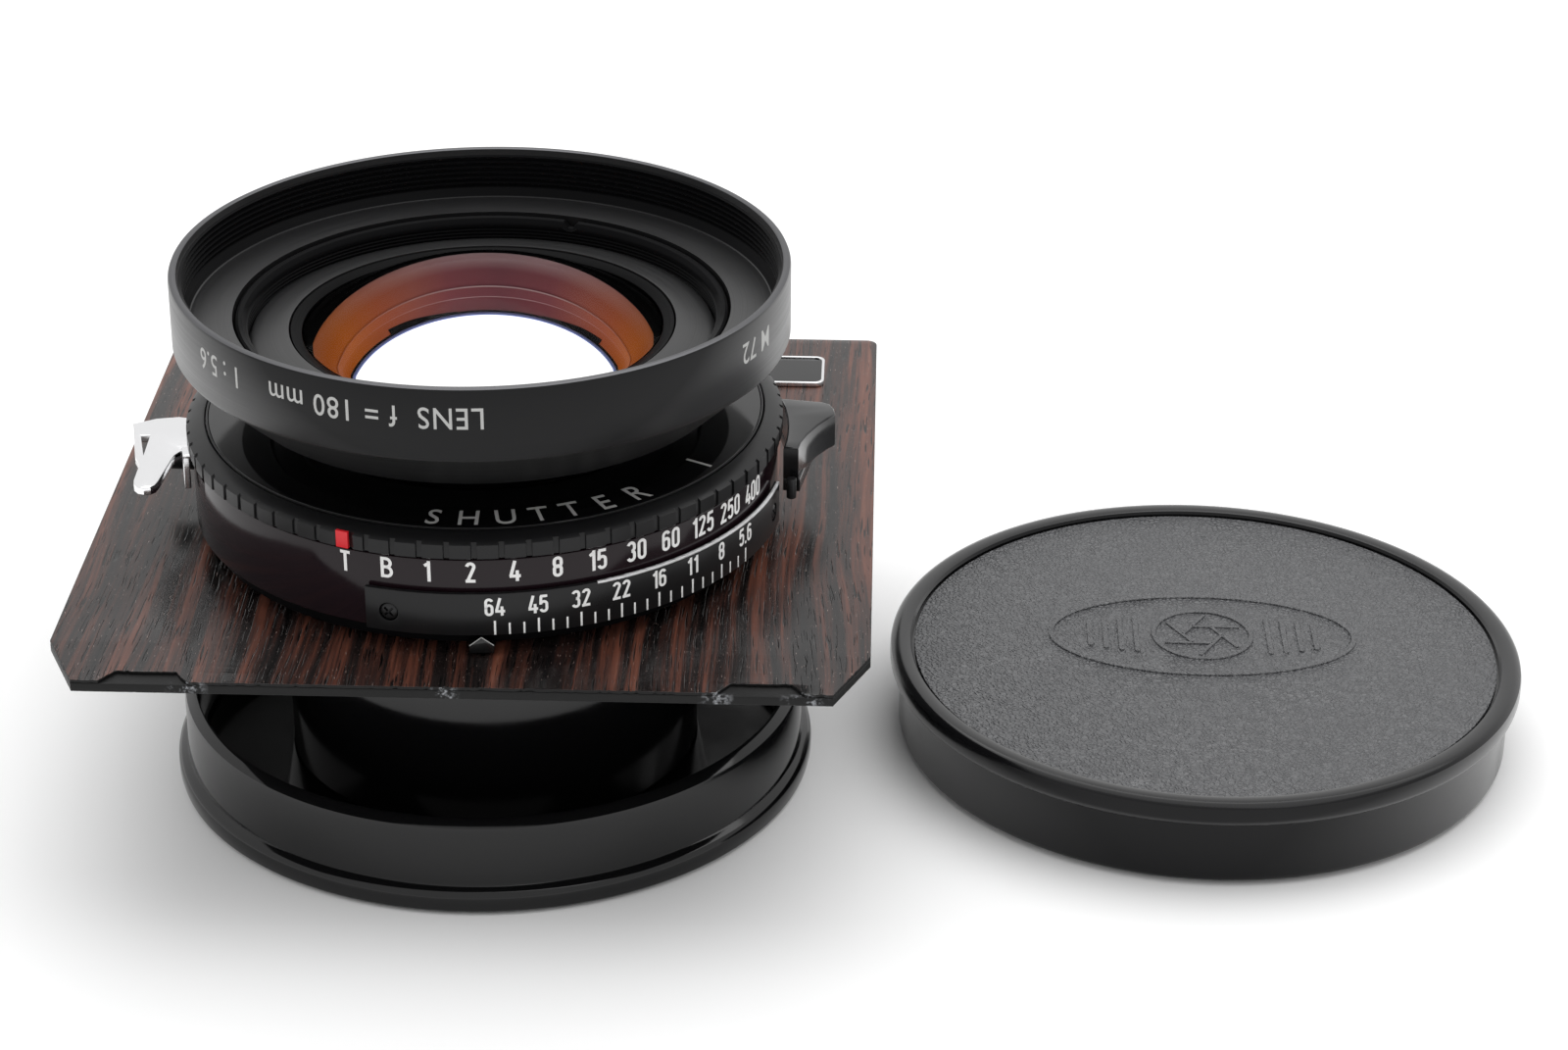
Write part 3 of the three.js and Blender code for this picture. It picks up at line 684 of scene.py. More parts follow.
def coated_glass_material(name, index):
    """Glass under an anti-reflection coating: a weak mirror that grows at a grazing angle."""
    made = glass_material(name, index)
    tree = made.node_tree
    bending = node(tree, "ShaderNodeBsdfRefraction", {"IOR": index})
    mirror = node(tree, "ShaderNodeBsdfGlossy", {"Roughness": 0.02})
    levels = ((0.0, 0.004), (0.7, 0.012), (0.9, 0.10), (1.0, 0.5))
    share = colours(tree, facing_away(tree), [(facing, (level,) * 3) for facing, level in levels])
    both = node(tree, "ShaderNodeMixShader", {0: share, 1: bending, 2: mirror})
    tree.links.new(both, tree.nodes["Material Output"].inputs["Surface"])
    return made


def painted_coating_reflection(name, extra_haze=0.0):
    """The coated face behind the front glass, with the coating's coloured reflection painted on as its
    colour: purple at the back and amber at the sides, under a pale painted haze that rises towards the top
    and fades at the sides.
    """
    made, tree, shader = new_material(name, (0.3, 0.06, 0.03), 0.5, Specular_IOR_Level=0.1)
    place = object_coords(tree)
    x, _, z = axes(tree, place)
    aside = maths(tree, "DIVIDE", maths(tree, "ABSOLUTE", x), distance_out(tree, place))
    reflection_tint = colours(tree, aside, [
        (0.0, (0.18, 0.048, 0.062)), (0.3, (0.23, 0.058, 0.068)), (0.5, (0.34, 0.095, 0.070)),
        (0.7, (0.43, 0.100, 0.038)), (0.9, (0.52, 0.125, 0.012)), (1.0, (0.46, 0.100, 0.004)),
    ])
    # Painted reflection: a pale haze that rises towards the top and fades towards the sides.
    rise = ramp(tree, z, extra_haze, 0.5 + extra_haze, 47.3 * MM, 49.1 * MM)
    drift = ramp(tree, noise(tree, place, 160, 2), 0.9, 1.1)
    painted_haze = maths(tree, "MULTIPLY", rise, ramp(tree, aside, 1.0, 0.15, 0.2, 0.9))
    painted_haze = maths(tree, "MULTIPLY", painted_haze, drift)
    tree.links.new(mixed(tree, painted_haze, reflection_tint, (0.85, 0.66, 0.66)), shader.inputs["Base Color"])
    return made


def glowing_glass_material():
    """The inner face: clear from in front, and all white past its critical angle, where a painted glow
    stands in for the bright reflection.
    """
    made, tree, shader = new_material("inner_painted_glow", (1, 1, 1), 0.03, IOR=1.01, Transmission_Weight=1.0)
    drift = ramp(tree, noise(tree, object_coords(tree), 300, 2), -0.004, 0.004)
    mirror = ramp(tree, maths(tree, "ADD", facing_away(tree), drift), 0, 1, 0.085, 0.12)
    tree.links.new(mirror, shader.inputs["Metallic"])
    shader.inputs["Emission Color"].default_value = (1, 1, 1, 1)
    # Painted glow: emission makes the face shine white at a grazing angle, though it is no lamp.
    tree.links.new(ramp(tree, mirror, 0, 1.15), shader.inputs["Emission Strength"])
    return made


def steel_material(name, color, roughness):
    """Bright metal with fine polishing marks."""
    made, tree, shader = new_material(name, color, roughness, Metallic=1.0)
    place = object_coords(tree)
    marks = stretched_noise(tree, place, (900, 5200, 900), 3)
    vary_roughness(tree, shader, marks, roughness * 0.6, roughness * 1.5)
    add_bump(tree, shader, noise(tree, place, 1 / (0.25 * MM), 3), 0.004)
    return made


VENEER = veneer_material()
BOARD_EDGE = edge_material()
LEATHER = leather_material()
ANODISED = with_sheen(lathe_finish("anodised", (0.0055, 0.0055, 0.006), 0.36, 0.0008), 0.2, 1.5)
MATT = with_sheen(lathe_finish("matt_black", (0.0036, 0.0036, 0.004), 0.38, 0.002), 0.03, 0.6, 0.62, 0.95)
CELL_BLACK = with_sheen(lathe_finish("cell_black", (0.0085, 0.0085, 0.009), 0.36, 0.001),
                        0.15, 1.0, 0.3, 0.8)
BLACKOUT = lathe_finish("blackout", (0.0016, 0.0016, 0.0018), 0.30, 0.001, Specular_IOR_Level=0.03)
LIP = lathe_finish("worn_lip", (0.11, 0.11, 0.115), 0.42, 0.002, Metallic=1.0)
GLOSS = speckled("gloss_lacquer", (0.003, 0.003, 0.0033), 0.10, 0.6, 0.0006, 0.03)
AUBERGINE = speckled("housing_lacquer", (0.009, 0.0042, 0.006), 0.13, 0.8, 0.0008, 0.03,
                     Specular_IOR_Level=0.27)
SCALE_BLACK = speckled("scale_lacquer", (0.0055, 0.0055, 0.006), 0.30, 0.10, 0.002, 0.05,
                       Specular_IOR_Level=0.30)
KNURL_BLACK = speckled("knurl_black", (0.0055, 0.0055, 0.006), 0.32, 0.10, 0.003, 0.05,
                       Specular_IOR_Level=0.30)
SATIN_PLASTIC = with_sheen(speckled("housing_plastic", (0.006, 0.006, 0.0065), 0.17, 0.3, 0.002, 0.05),
                           0.25, 1.3)
CAP_BLACK = speckled("cap_plastic", (0.0035, 0.0035, 0.0038), 0.09, 0.5, 0.001, 0.03,
                     Specular_IOR_Level=0.38)
CAP_SATIN = with_sheen(speckled("cap_satin", (0.0045, 0.0045, 0.005), 0.18, 0.25, 0.002, 0.06),
                       0.2, 1.2, 0.25, 0.9)
SILVER = steel_material("bright_metal", (0.86, 0.86, 0.87), 0.16)
STEEL = steel_material("spring_steel", (0.42, 0.43, 0.45), 0.3)
BLACK_STEEL = speckled("black_steel", (0.02, 0.02, 0.021), 0.34, 0.2, 0.004, 0.08, Metallic=0.6)
# Bright edge metal: partly real wear, partly a painted highlight on the scale plate's chamfer.
WEAR_AND_HIGHLIGHT_EDGE = steel_material("wear_and_highlight_edge", (0.88, 0.88, 0.89), 0.55)
BRASS = steel_material("brass", (0.62, 0.44, 0.18), 0.28)
BLADES = speckled("blade_black", (0.01, 0.01, 0.0105), 0.5, 0.3, 0.002, 0.08)
RED = speckled("red_paint", (0.62, 0.012, 0.02), 0.4, 0.15, 0.004, 0.05)
WHITE = speckled("white_paint", (0.80, 0.80, 0.79), 0.55, 0.08, 0.004, 0.05)
DIM_WHITE = speckled("engraved_paint", (0.42, 0.42, 0.41), 0.5, 0.06, 0.006, 0.05)
COATED = coated_glass_material("coated_glass", 1.45)
CLEAR = glass_material("inner_glass", 1.6)
# Painted coating reflections; the second carries more painted haze.
AMBER = painted_coating_reflection("amber_coating_reflection")
AMBER_HAZE = painted_coating_reflection("amber_haze", 0.45)
INNER_GLOW = glowing_glass_material()
BLUE_EDGE = speckled("blue_edge", (0.28, 0.36, 0.75), 0.3, 0.2, 0.001, 0.05, Metallic=0.8)


# ---- Lens board ----
def board_outline(notched, wear=0.0):
    """The board in plan, anticlockwise, with points along the front edge that chips can move."""
    w, front = BOARD["width"] / 2, BOARD["centre_y"] - BOARD["depth"] / 2
    back = BOARD["centre_y"] + BOARD["depth"] / 2
    clip_x, clip_y = BOARD_CLIP
    corners = [(-w, front + clip_y), (clip_x - w, front)]
    if notched:
        inner, outer, depth, slope = NOTCH.values()
        for left, right in ((-outer, -inner), (inner, outer)):
            corners += [(left, front), (left + slope, front + depth), (right - slope, front + depth),
                        (right, front)]
    corners += [(w - clip_x, front), (w, front + clip_y)]
    points = []
    chance = random.Random(7)
    for start, end in zip(corners, corners[1:]):
        length = math.dist(start, end)
        count = max(1, round(length / 0.35))
        for i in range(count):
            t = i / count
            x, y = start[0] + (end[0] - start[0]) * t, start[1] + (end[1] - start[1]) * t
            near_corner = min(t, 1 - t) * length < 1.6
            chip = chance.random() ** (2 if near_corner else 5)
            points.append((x, y + wear * chip))
    points.append(corners[-1])
    points += arc((w - BOARD_CORNER, back - BOARD_CORNER), BOARD_CORNER, 0, 90)
    points += arc((BOARD_CORNER - w, back - BOARD_CORNER), BOARD_CORNER, 90, 180)
    return points


def make_board():
    hole = circle(BOARD["hole"], MEDIUM)
    sheet_top = BOARD["plate_top"]
    plate = plate_mesh("plate", [board_outline(False, 0.05), hole], BOARD["bottom"], sheet_top, 0.12)
    finish_piece("board_sheet", plate, BOARD_EDGE, "board_plate")
    face = plate_mesh("face", [board_outline(True, 0.22), hole], sheet_top + 0.02, BOARD["top"], 0.08)
    made = finish_piece("board_face", face, VENEER, "board_veneer")
    repaint(made, BOARD_EDGE, lambda middle, normal: abs(normal.z) < 0.9)


def make_badge():
    x, y, width, depth, bottom, top, corner, border = BADGE.values()
    outer, inner, field = (
        rounded_rectangle((x, y), width - shrink * border, depth - shrink * border, corner - easing * border)
        for shrink, easing in ((0, 0), (2, 0.5), (1, 0.25))
    )
    mesh = plate_mesh("badge", [outer, inner], bottom, top, 0.12)
    finish_piece("badge_border", mesh, SILVER, None)
    mesh = plate_mesh("field", [field], bottom, top - 0.2, 0.03)
    finish_piece("badge_field", mesh, GLOSS, "board_badge")


# ---- Shutter ----
def make_housing():
    radius, bottom, top, wall, floor, bore = BODY.values()
    drum = [(bore, bottom), (radius, bottom), (radius, top), (radius - wall, top),
            (radius - wall, bottom + floor), (bore, bottom + floor)]
    housing = ring("housing", drum, AUBERGINE, "shutter_housing", FINE, 0.25)
    slots = [part_turned(box(radius - wall - 1, radius + 1, low, high), start, end, 24)
             for start, end, low, high in WALL_SLOTS]
    inner, outer, start, end = FLOOR_SLOT.values()
    slots.append(part_turned(box(inner, outer, bottom - 1, bottom + 2), start, end, 24))
    cut(housing, slots)


def make_rings():
    flange = [(18.9, 27.4), (20.1, 27.4), (20.1, 33.65), (26.6, 33.65), (26.6, 35.7), (18.9, 35.7)]
    ring("flange", flange, BLACK_STEEL, "shutter_flange", MEDIUM, 0.12)
    clamp = ring("clamp_ring", box(20.4, 24.6, 28.6, 31.35), BLACK_STEEL, "retaining_ring",
                 MEDIUM, 0.12)
    cut(clamp, [part_turned(box(20.6, 26, 28, 29.6), a - 3, a + 3, 2) for a in CLAMP_SLOTS])

    inner, outer, bottom, top = FACE_PLATE.values()
    ring("top_plate", box(inner, outer, bottom, top), GLOSS, "face_plate", FINE, 0.18)
    ring("plate_edge", box(outer + 0.03, outer + 0.27, top - 0.6, top + 0.02), BLACK_STEEL, easing=0.05)
    letters = [flat_round(glyphs(c, 3.6, 0.78), degrees, 31.2, top + 0.005) for c, degrees in PLATE_MARKS]
    piece("plate_marks", joined(letters), DIM_WHITE)


def make_speed_ring():
    """The knurled ring: wide teeth with narrow grooves, and a seat for the red mark."""
    radius, inner, bottom, edge, top, notch = SPEED_RING.values()
    pitch, first, groove = KNURL.values()
    start, end = INDEX.values()
    angles, profiles = [], []
    for tooth in range(round(360 / pitch)):
        base = first - groove / 2 + tooth * pitch
        samples = [(base + 0.04, notch), (base + groove - 0.04, notch)]
        samples += [(base + groove + (pitch - groove) * t, 0.0) for t in (0.0, 0.02, 0.25, 0.5, 0.75, 0.98)]
        for degrees, depth in samples:
            if start - 0.2 < (degrees + 180) % 360 - 180 < end + 0.2:
                depth = 0.45
            outer = radius - depth
            angles.append(degrees)
            profiles.append([
                (inner, bottom), (outer - 0.12, bottom), (outer, bottom + 0.12),
                (outer, edge - 0.3 - depth * 0.5), (radius - 0.42, edge - 0.06), (radius - 0.6, edge + 0.02),
                (inner + 0.45, top), (inner + 0.12, top), (inner, top - 0.12),
            ])
    piece("knurled_ring", swept(angles, profiles), KNURL_BLACK, "speed_ring", "speed_dial")
    mark = curved_block(start, end, radius - 0.4, radius + 0.02, bottom + 0.05, edge + 0.02, 4)
    piece("red_index", mark, RED, "speed_index", "speed_dial")


def make_markings():
    speeds = [wrapped(dial_text(text, 2.65), degrees, 43.9, BODY["radius"] + 0.01)
              for text, degrees in SPEED_MARKS.items()]
    piece("speed_marks", joined(speeds), WHITE)
    stops, face = [], SCALE["outer"]
    for i, text in enumerate(STOPS):
        degrees = FIRST_STOP + STOP_STEP * i
        stops.append(wrapped(dial_text(text, 2.3), degrees, 39.8, face + 0.01))
        for k in range(3 if i < len(STOPS) - 1 else 1):
            middle = degrees + STOP_STEP * k / 3
            half, top = (0.17, 37.65) if k else (0.19, 38.0)
            stops.append(curved_block(middle - half, middle + half, face - 0.02, face + 0.03,
                                      36.18, top, 1, 0.01))
    piece("aperture_marks", joined(stops), WHITE)
    rim = [wrapped(glyphs(text, 2.65, 0.86, spacing), degrees, 64.1, RIM["radius"], turn=-1)
           for text, spacing, degrees in RIM_MARKS]
    piece("rim_marks", joined(rim), DIM_WHITE)


def make_scale_plate():
    inner, outer, bottom, top, start, end = SCALE.values()
    z, size = SCREW.values()
    block = curved_block(start, end, inner, outer, bottom, top, 120, 0.09)
    plate = piece("aperture_scale", block, SCALE_BLACK, "aperture_scale_plate")
    # A bright metal strip along the top edge, from the middle to the right end: partly a real worn chamfer,
    # partly a painted highlight.
    worn = curved_block(26, end - 0.1, outer - 0.34, outer + 0.02, top - 0.24, top + 0.05, 60, 0.02)
    piece("scale_wear_and_highlight_edge", worn, WEAR_AND_HIGHLIGHT_EDGE)
    hole = box(0, size + 0.12, inner - 1, outer + 1)
    cut(plate, [radial_rod(hole, degrees, z) for degrees in SCREW_ANGLES.values()])
    base, face = BODY["radius"] + 0.16, outer - 0.08
    head = [(0, base), (size, base), (size, face - 0.2), (size - 0.12, face - 0.06),
            (size * 0.6, face + 0.05), (0, face + 0.08)]
    for name, degrees in SCREW_ANGLES.items():
        rod = radial_rod(head, degrees, z)
        screw = piece(f"cross_{name}", rod, BLACK_STEEL, name)
        recess = []
        for turn in (45, 135):
            tilt = Matrix.Rotation(math.radians(turn), 2)
            bar = [tilt @ Vector(corner) for corner in box(-0.72, 0.72, -0.15, 0.15)]
            recess.append(prism(bar, (face - 0.42, face + 1),
                                lambda side, up, out: beside(degrees, out, side, z + up)))
        cut(screw, recess)


def make_pointer():
    """The aperture pointer: a small black house with a bright edge, on its ring."""
    dial = turned(box(27, 34.6, 34.1, 35.4), FINE, 0.1)
    pin = moved(turned(box(0, 0.9, 35.2, 37), 24, 0.1), at(31, 176))
    piece("aperture_dial_ring", joined([dial, pin]), MATT, "aperture_ring", "aperture_dial")
    half, low, shoulder, apex = 1.45, 33.75, 34.75, 35.85
    outline = [(-half, low), (half, low), (half, shoulder), (0, apex), (-half, shoulder)]
    house = prism(outline, (35.0, 36.85), lambda side, z, out: beside(POINTER_ANGLE, out, side, z))
    tab = piece("pointer_tab", house, GLOSS, "aperture_pointer", "aperture_dial")
    bevelled(tab, 0.08, 2)
    outward = at(1, POINTER_ANGLE)
    repaint(tab, DIM_WHITE, lambda middle, normal: normal.z > 0.15 and normal.dot(outward) > 0.15)


# ---- Levers and side fittings ----
def make_levers():
    hole = [(-42.5, -2.6), (-41.4, -2.5), (-41.2, -8.0)]
    arm = [(-26.5, 2), (-37.8, 2.7), (-38.7, 2.9), (-41.4, 2.3), (-44.1, 0.7), (-42.1, -8.6), (-41.2, -10.8),
           (-41.1, -14.8), (-40.9, -16.0), (-40.3, -16.8), (-39.5, -17.1), (-38.7, -16.9), (-38.2, -16.3),
           (-38.0, -15.2), (-37.5, -9.4), (-37.3, -8.0), (-36.8, -7.0), (-36.2, -6.7), (-26.2, -5)]
    low, high = 43.5, 44.5
    mesh = plate_mesh("arm", [arm, hole], low - 0.05, high, 0.16)
    finish_piece("cocking_arm", mesh, SILVER, "cocking_lever", "cocking")
    piece("cocking_hub", turned(box(*LEVER_HUB, low, high), MEDIUM, 0.1), SILVER, body="cocking")
    piece("cocking_sector", curved_block(60, 140, 26.8, 27.7, low, high, 40, 0.1), SILVER, body="cocking")

    angle, width, pivot, reach = RELEASE_ARM.values()
    half = width / 2
    strip = [*arc((pivot, 0), half, 270, 90, 12), (reach, half), (reach, -half)]
    for name, outline, heights, bevel, stands_for, slot in (
        ("release_arm", strip, (44.8, 45.4), (0.1, 2), "release_lever", "bright_metal"),
        ("release_tab", box(reach - 0.8, reach, -half, half), (40.8, 45.3), (0.14, 3), None, None),
    ):
        shape = prism(outline, heights, lambda out, side, z: beside(angle, out, side, z))
        bevelled(piece(name, shape, SILVER, stands_for, "release"), *bevel)

    hub = turned(box(*LEVER_HUB, 42.6, 43.1), MEDIUM, 0.08)
    arm = curved_block(160, 164.5, 27.0, 39.4, 42.6, 43.1, 6, 0.08)
    piece("press_focus_arm", joined([hub, arm]), BLACK_STEEL, "press_focus_lever",
          "press_focus")


def make_side_fittings():
    inner, low, step, top = 37.2, 39.8, 41.3, 45.7
    start = tuple(at(inner, 82).xy)
    back = [tuple(at(inner, degrees).xy) for degrees in (104, 100, 96, 92, 88, 85)]
    side = [start, (38.7, -5.4), (39.0, -3.4), (39.7, -1.2), (41, 1.6), (42.1, 3.4), (43, 4.6),
            (42.8, 6.4), (42.3, 7.6), (41.2, 8.2)]
    block = plate_mesh("block", [side + back], step, top, 0.25)
    finish_piece("flash_housing", block, SATIN_PLASTIC, "sync_housing")
    leg = [start, (38.9, -5.4), (40.3, 3.4), (39.6, 8.8)]
    foot = plate_mesh("foot", [leg + back], low, step + 0.3, 0.2)
    finish_piece("flash_housing_foot", foot, SATIN_PLASTIC)

    tube = moved(radial_rod(rounded(box(1.1, 1.6, 0, 1.5)), 180, 42.6), (40, 9.2, 0))
    piece("flash_terminal", tube, BLACK_STEEL, "sync_terminal")
    pin = moved(turned(box(0, 0.6, 39.6, 42.2), 32, 0.1), (37.9, -6.5, 0))
    piece("flash_housing_pin", pin, BLACK_STEEL, "housing_screw")
    socket = radial_rod(rounded(box(1, 1.9, 36.3, 41), 0.15), -93.5, 39.6)
    piece("release_socket", socket, BLACK_STEEL, "cable_release_socket")


# ---- Front lens group ----
def thread(radius, top, pitch, turns, depth):
    """Cut thread seen in section, from the top down, as (radius, z) points."""
    points = []
    for i in range(turns):
        z = top - i * pitch
        points += [(radius, z), (radius + depth, z - pitch * 0.35), (radius + depth, z - pitch * 0.5),
                   (radius, z - pitch * 0.85)]
    return points


def make_hood():
    r, top, side, bore = RIM.values()
    bore -= 0.1
    wall, base = CONE.values()
    outer, inner, ring_top, ring_bottom = LOCK_RING.values()
    seat = outer + 0.3
    profile = [
        (wall, base), (r - 0.9, side - 0.55), (r - 0.25, side - 0.2), (r, side + 0.25), (r, top - 0.45),
        (r - 0.12, top - 0.16), (r - 0.4, top), (r - 0.75, top), (r - 0.95, top - 0.12),
        (bore + 0.35, top - 0.85), (bore, top - 0.95), *thread(bore, **THREAD),
        (bore - 0.6, HOOD_FLOOR + 0.1), (bore - 0.75, HOOD_FLOOR), (seat, HOOD_FLOOR),
        (seat, 57.6), (26.4, 57.6), (26.4, base),
    ]
    hood = ring("hood", profile, ANODISED, "filter_hood")
    inner_edge = bore + THREAD["depth"] + 0.02

    def inside(middle, normal):
        flat = Vector((middle.x, middle.y, 0))
        outer_cone = middle.z < side and normal.dot(flat) > 0
        return middle.z > 53 and flat.length < inner_edge and normal.z > -0.5 and not outer_cone

    repaint(hood, MATT, inside)
    repaint(hood, LIP, lambda middle, normal: middle.z > top - 0.14 and normal.z > 0.3)
    repaint(hood, CELL_BLACK, lambda middle, normal: middle.z < HOOD_FLOOR + 0.3 and inside(middle, normal))

    angles, profiles = span(0, 360, FINE)[:-1], []
    fine_thread = [(x, z - 0.25) for x, z in thread(inner - 0.05, ring_top - 0.9, 0.45, 5, 0.18)]
    for degrees in angles:
        away = min(abs((degrees - middle + 180) % 360 - 180) for middle in LOCK_RING_SLOTS)
        drop = 0.8 if away < 1.6 else 0.0
        face = ring_top - drop
        profiles.append([
            (outer, ring_bottom), (outer, face - 0.45), (outer - 0.12, face - 0.15), (outer - 0.4, face),
            (outer - 0.9, face - 0.12), (inner + 0.1, face - 0.55), (inner - 0.05, face - 0.8 + drop * 0.5),
            *fine_thread, (inner, ring_bottom),
        ])
    piece("lock_ring", swept(angles, profiles), MATT, "hood_lock_ring")


def make_front_cell():
    cone = [(23.5, 57.2), (26.1, 57.2), (26.1, 57.9), (28.1, 57.9), (28.1, 58.75), (23.5, 59.65)]
    ring("cell_ring", cone, CELL_BLACK, "front_cell_ring", FINE, 0.1)
    bevel = [(21.95, 57.2), (23.3, 57.2), (23.3, 59.5), (21.95, 59.1)]
    ring("glass_bevel", bevel, BLACKOUT, "front_glass_ring", FINE, 0.06)
    barrel = [
        (23, 48.9), (23, 51.4), (26.1, 52.8), (26.1, 56.9), (21.95, 56.9), (21.95, 49.05), (19.1, 49.05),
        (18.3, 48), (18.3, 44.4), (16.9, 44.4), (16.9, 42.7), (20.6, 42.7), (20.6, 48.6),
    ]
    ring("cell_barrel", barrel, MATT, "front_cell_barrel", MEDIUM, 0.1)


def element(number, radius, edge_bottom, edge_top, top, bottom, rise, material):
    """A rear element: top and bottom are sphere radii, and the sign says which way each curves."""
    steps = 28

    def face(edge, sphere):
        def sag(r):
            return sphere - math.copysign(math.sqrt(sphere * sphere - r * r), sphere)

        return [(r, edge + sag(rise) - sag(r)) for r in (rise * i / steps for i in range(steps + 1))]

    profile = face(edge_bottom, bottom) + [(radius, edge_bottom), (radius, edge_top)]
    profile += face(edge_top, top)[::-1]
    ring(f"glass_{number}", profile, material, f"rear_element_{number}", 192)


def make_front_glass():
    radius, edge, edge_z = DOME.values()
    low = edge_z - math.sqrt(radius ** 2 - edge ** 2)
    cover = [(edge * i / 40, low + math.sqrt(radius ** 2 - (edge * i / 40) ** 2)) for i in range(40, -1, -1)]
    block = [(0, 43.4), (16.7, 43.4), (16.7, 44.55), (18.15, 44.55), (18.15, 48.1), (19.0, 49.2),
             (21.8, 49.2), (21.8, 58.9)]
    ring("glass_1", block + cover, COATED, "front_element_1")
    liner = [(17.9, 49.1), (17.9, 49.4), (21.6, 49.4), (21.6, 58.85), (21.72, 58.85), (21.72, 49.3),
             (18.3, 49.3), (18.3, 49.1)]
    ring("glass_edge_paint", liner, BLACKOUT)


def make_coated_bowl():
    """The coated face that shows through the front glass, with painted reflection colours, and the black
    seat below it, with painted shade on its far side.
    """
    bowl = [(18.05, 49.12), (17.3, 48.55), (16.6, 47.98), (15.9, 47.4), (15.3, 46.85), (14.8, 46.35),
            (14.5, 45.9), (14.3, 45.4), (14.15, 44.95), (13.9, 44.55), (13.5, 44.2), (13.1, 44.0)]
    bowl = rounded(bowl + [(r - 0.1, z - 0.3) for r, z in bowl[::-1]], 0.3, 2)
    ring("glass_2_face", bowl, AMBER, "front_element_2")
    ring("front_spacer_ring", box(17.5, 17.9, 48.1, 48.35), BLACKOUT, "front_spacer", MEDIUM,
         0.05)
    # Two thin rings in the hazier coating colour, whose pale haze is a painted reflection.
    for radius, z in ((14.5, 46.05), (14.2, 44.95)):
        ring(f"painted_haze_line_{round(z)}", arc((radius, z), 0.07, 0, 300, 5), AMBER_HAZE)
    seat = [(13.1, 43.6), (13.3, 43.6), (13.3, 44.12), (13.1, 44.06)]
    ring("glass_seat", seat, BLACKOUT, easing=0.02)
    # Painted shade: two near-black wedges on the far side of the seat.
    count = 24
    for name, side in (("seat_painted_shade_1", -1), ("seat_painted_shade_2", 1)):
        profiles = []
        for i in range(count + 1):
            k = (i / count) ** 1.5
            outer = 13.35 + 0.6 * k
            profiles.append([(13.1, 43.7), (outer, 43.7), (outer, 44.15 + 0.35 * k), (13.1, 44.12)])
        angles = span(180 + side * 16, 180 + side * 44, count)
        piece(name, swept(angles[::side], profiles[::side], closed=False), BLACKOUT)
    rim = [(12.75, 43.7), (13.08, 43.7), (13.08, 44.05), (12.75, 44.03)]
    ring("glass_blue_edge", rim, BLUE_EDGE, easing=0.02)
    # The inner face glows white at a grazing angle: a painted reflection.
    ring("glass_3_face", box(0, 12.8, 43.6, 43.98), INNER_GLOW, "front_element_3")


# ---- Rear lens group ----
def make_rear_glass():
    element(4, 18.1, 20.6, 23, -40, -33, 17.6, CLEAR)
    element(5, 21.6, 12.55, 18.3, -36, -90, 21, CLEAR)
    element(6, 21.6, 9.6, 12.2, -90, -52, 21.5, COATED)


def make_rear_cell():
    barrel = [
        (25.8, 3.15), (25.8, 22.6), (25.5, 22.8), (25.5, 23.2), (25.8, 23.4), (25.8, 24.6), (23.4, 27.1),
        (18.6, 27.1), (18.6, 33.2), (16.9, 33.2), (16.9, 26.4), (18.4, 24.2), (18.4, 18.7), (21.95, 18.7),
        (21.95, 9.3), (23.6, 9.3), (23.6, 3.15),
    ]
    made = ring("rear_barrel", barrel, GLOSS, "rear_cell_barrel", FINE, 0.15)
    # Painted shade: the barrel above 24.5 mm, up under the board, takes the near-black blackout finish.
    repaint(made, BLACKOUT, lambda middle, normal: middle.z > 24.5)
    ring("rear_bevel", box(21.2, 23.3, 6, 9), MATT, "rear_glass_ring", MEDIUM, 0.1)


# ---- Caps ----
def cap_profile(flip):
    wall, bore, bead, bead_height, height, chamfer, panel, recess = CAP.values()
    seat = recess + 0.45
    inside = recess + 0.4 + panel
    profile = [
        (0, seat), (bore, seat), (bore, 0.45), (bore + 0.25, 0.12), (bore + 0.7, 0),
        (bead - 1.0, 0), (bead - 0.45, 0.14), (bead - 0.1, 0.5), (bead, 1.0),
        (bead, bead_height - 1.1), (bead - 0.12, bead_height - 0.6), (bead - 0.5, bead_height - 0.22),
        (wall + 0.25, bead_height - 0.05), (wall + 0.05, bead_height + 0.1), (wall, bead_height + 0.4),
        (wall, height - chamfer), (wall - 0.15, height - chamfer * 0.6),
        (wall - chamfer * 0.75, height - 0.12), (wall - chamfer, height),
        (bore + 0.08, height), (bore, height - 0.1), (bore, inside + 0.6),
        (bore - 0.2, inside + 0.15), (bore - 0.7, inside), (0, inside),
    ]
    return [(r, height - z if flip else z) for r, z in profile]


def make_cap(name, flip, centre, material):
    shape = moved(turned(cap_profile(flip), FINE, 0), (*centre, 0))
    piece(f"{name}_cup", shape, material, f"{name}_shell", name)
    low, high = CAP["recess"], CAP["recess"] + 0.4
    if flip:
        low, high = CAP["height"] - high, CAP["height"] - low
    disc = moved(turned(box(0, CAP["bore"] - 0.3, low, high), FINE, 0.12), (*centre, 0))
    piece(f"{name}_grain", disc, LEATHER, f"{name}_panel", name)


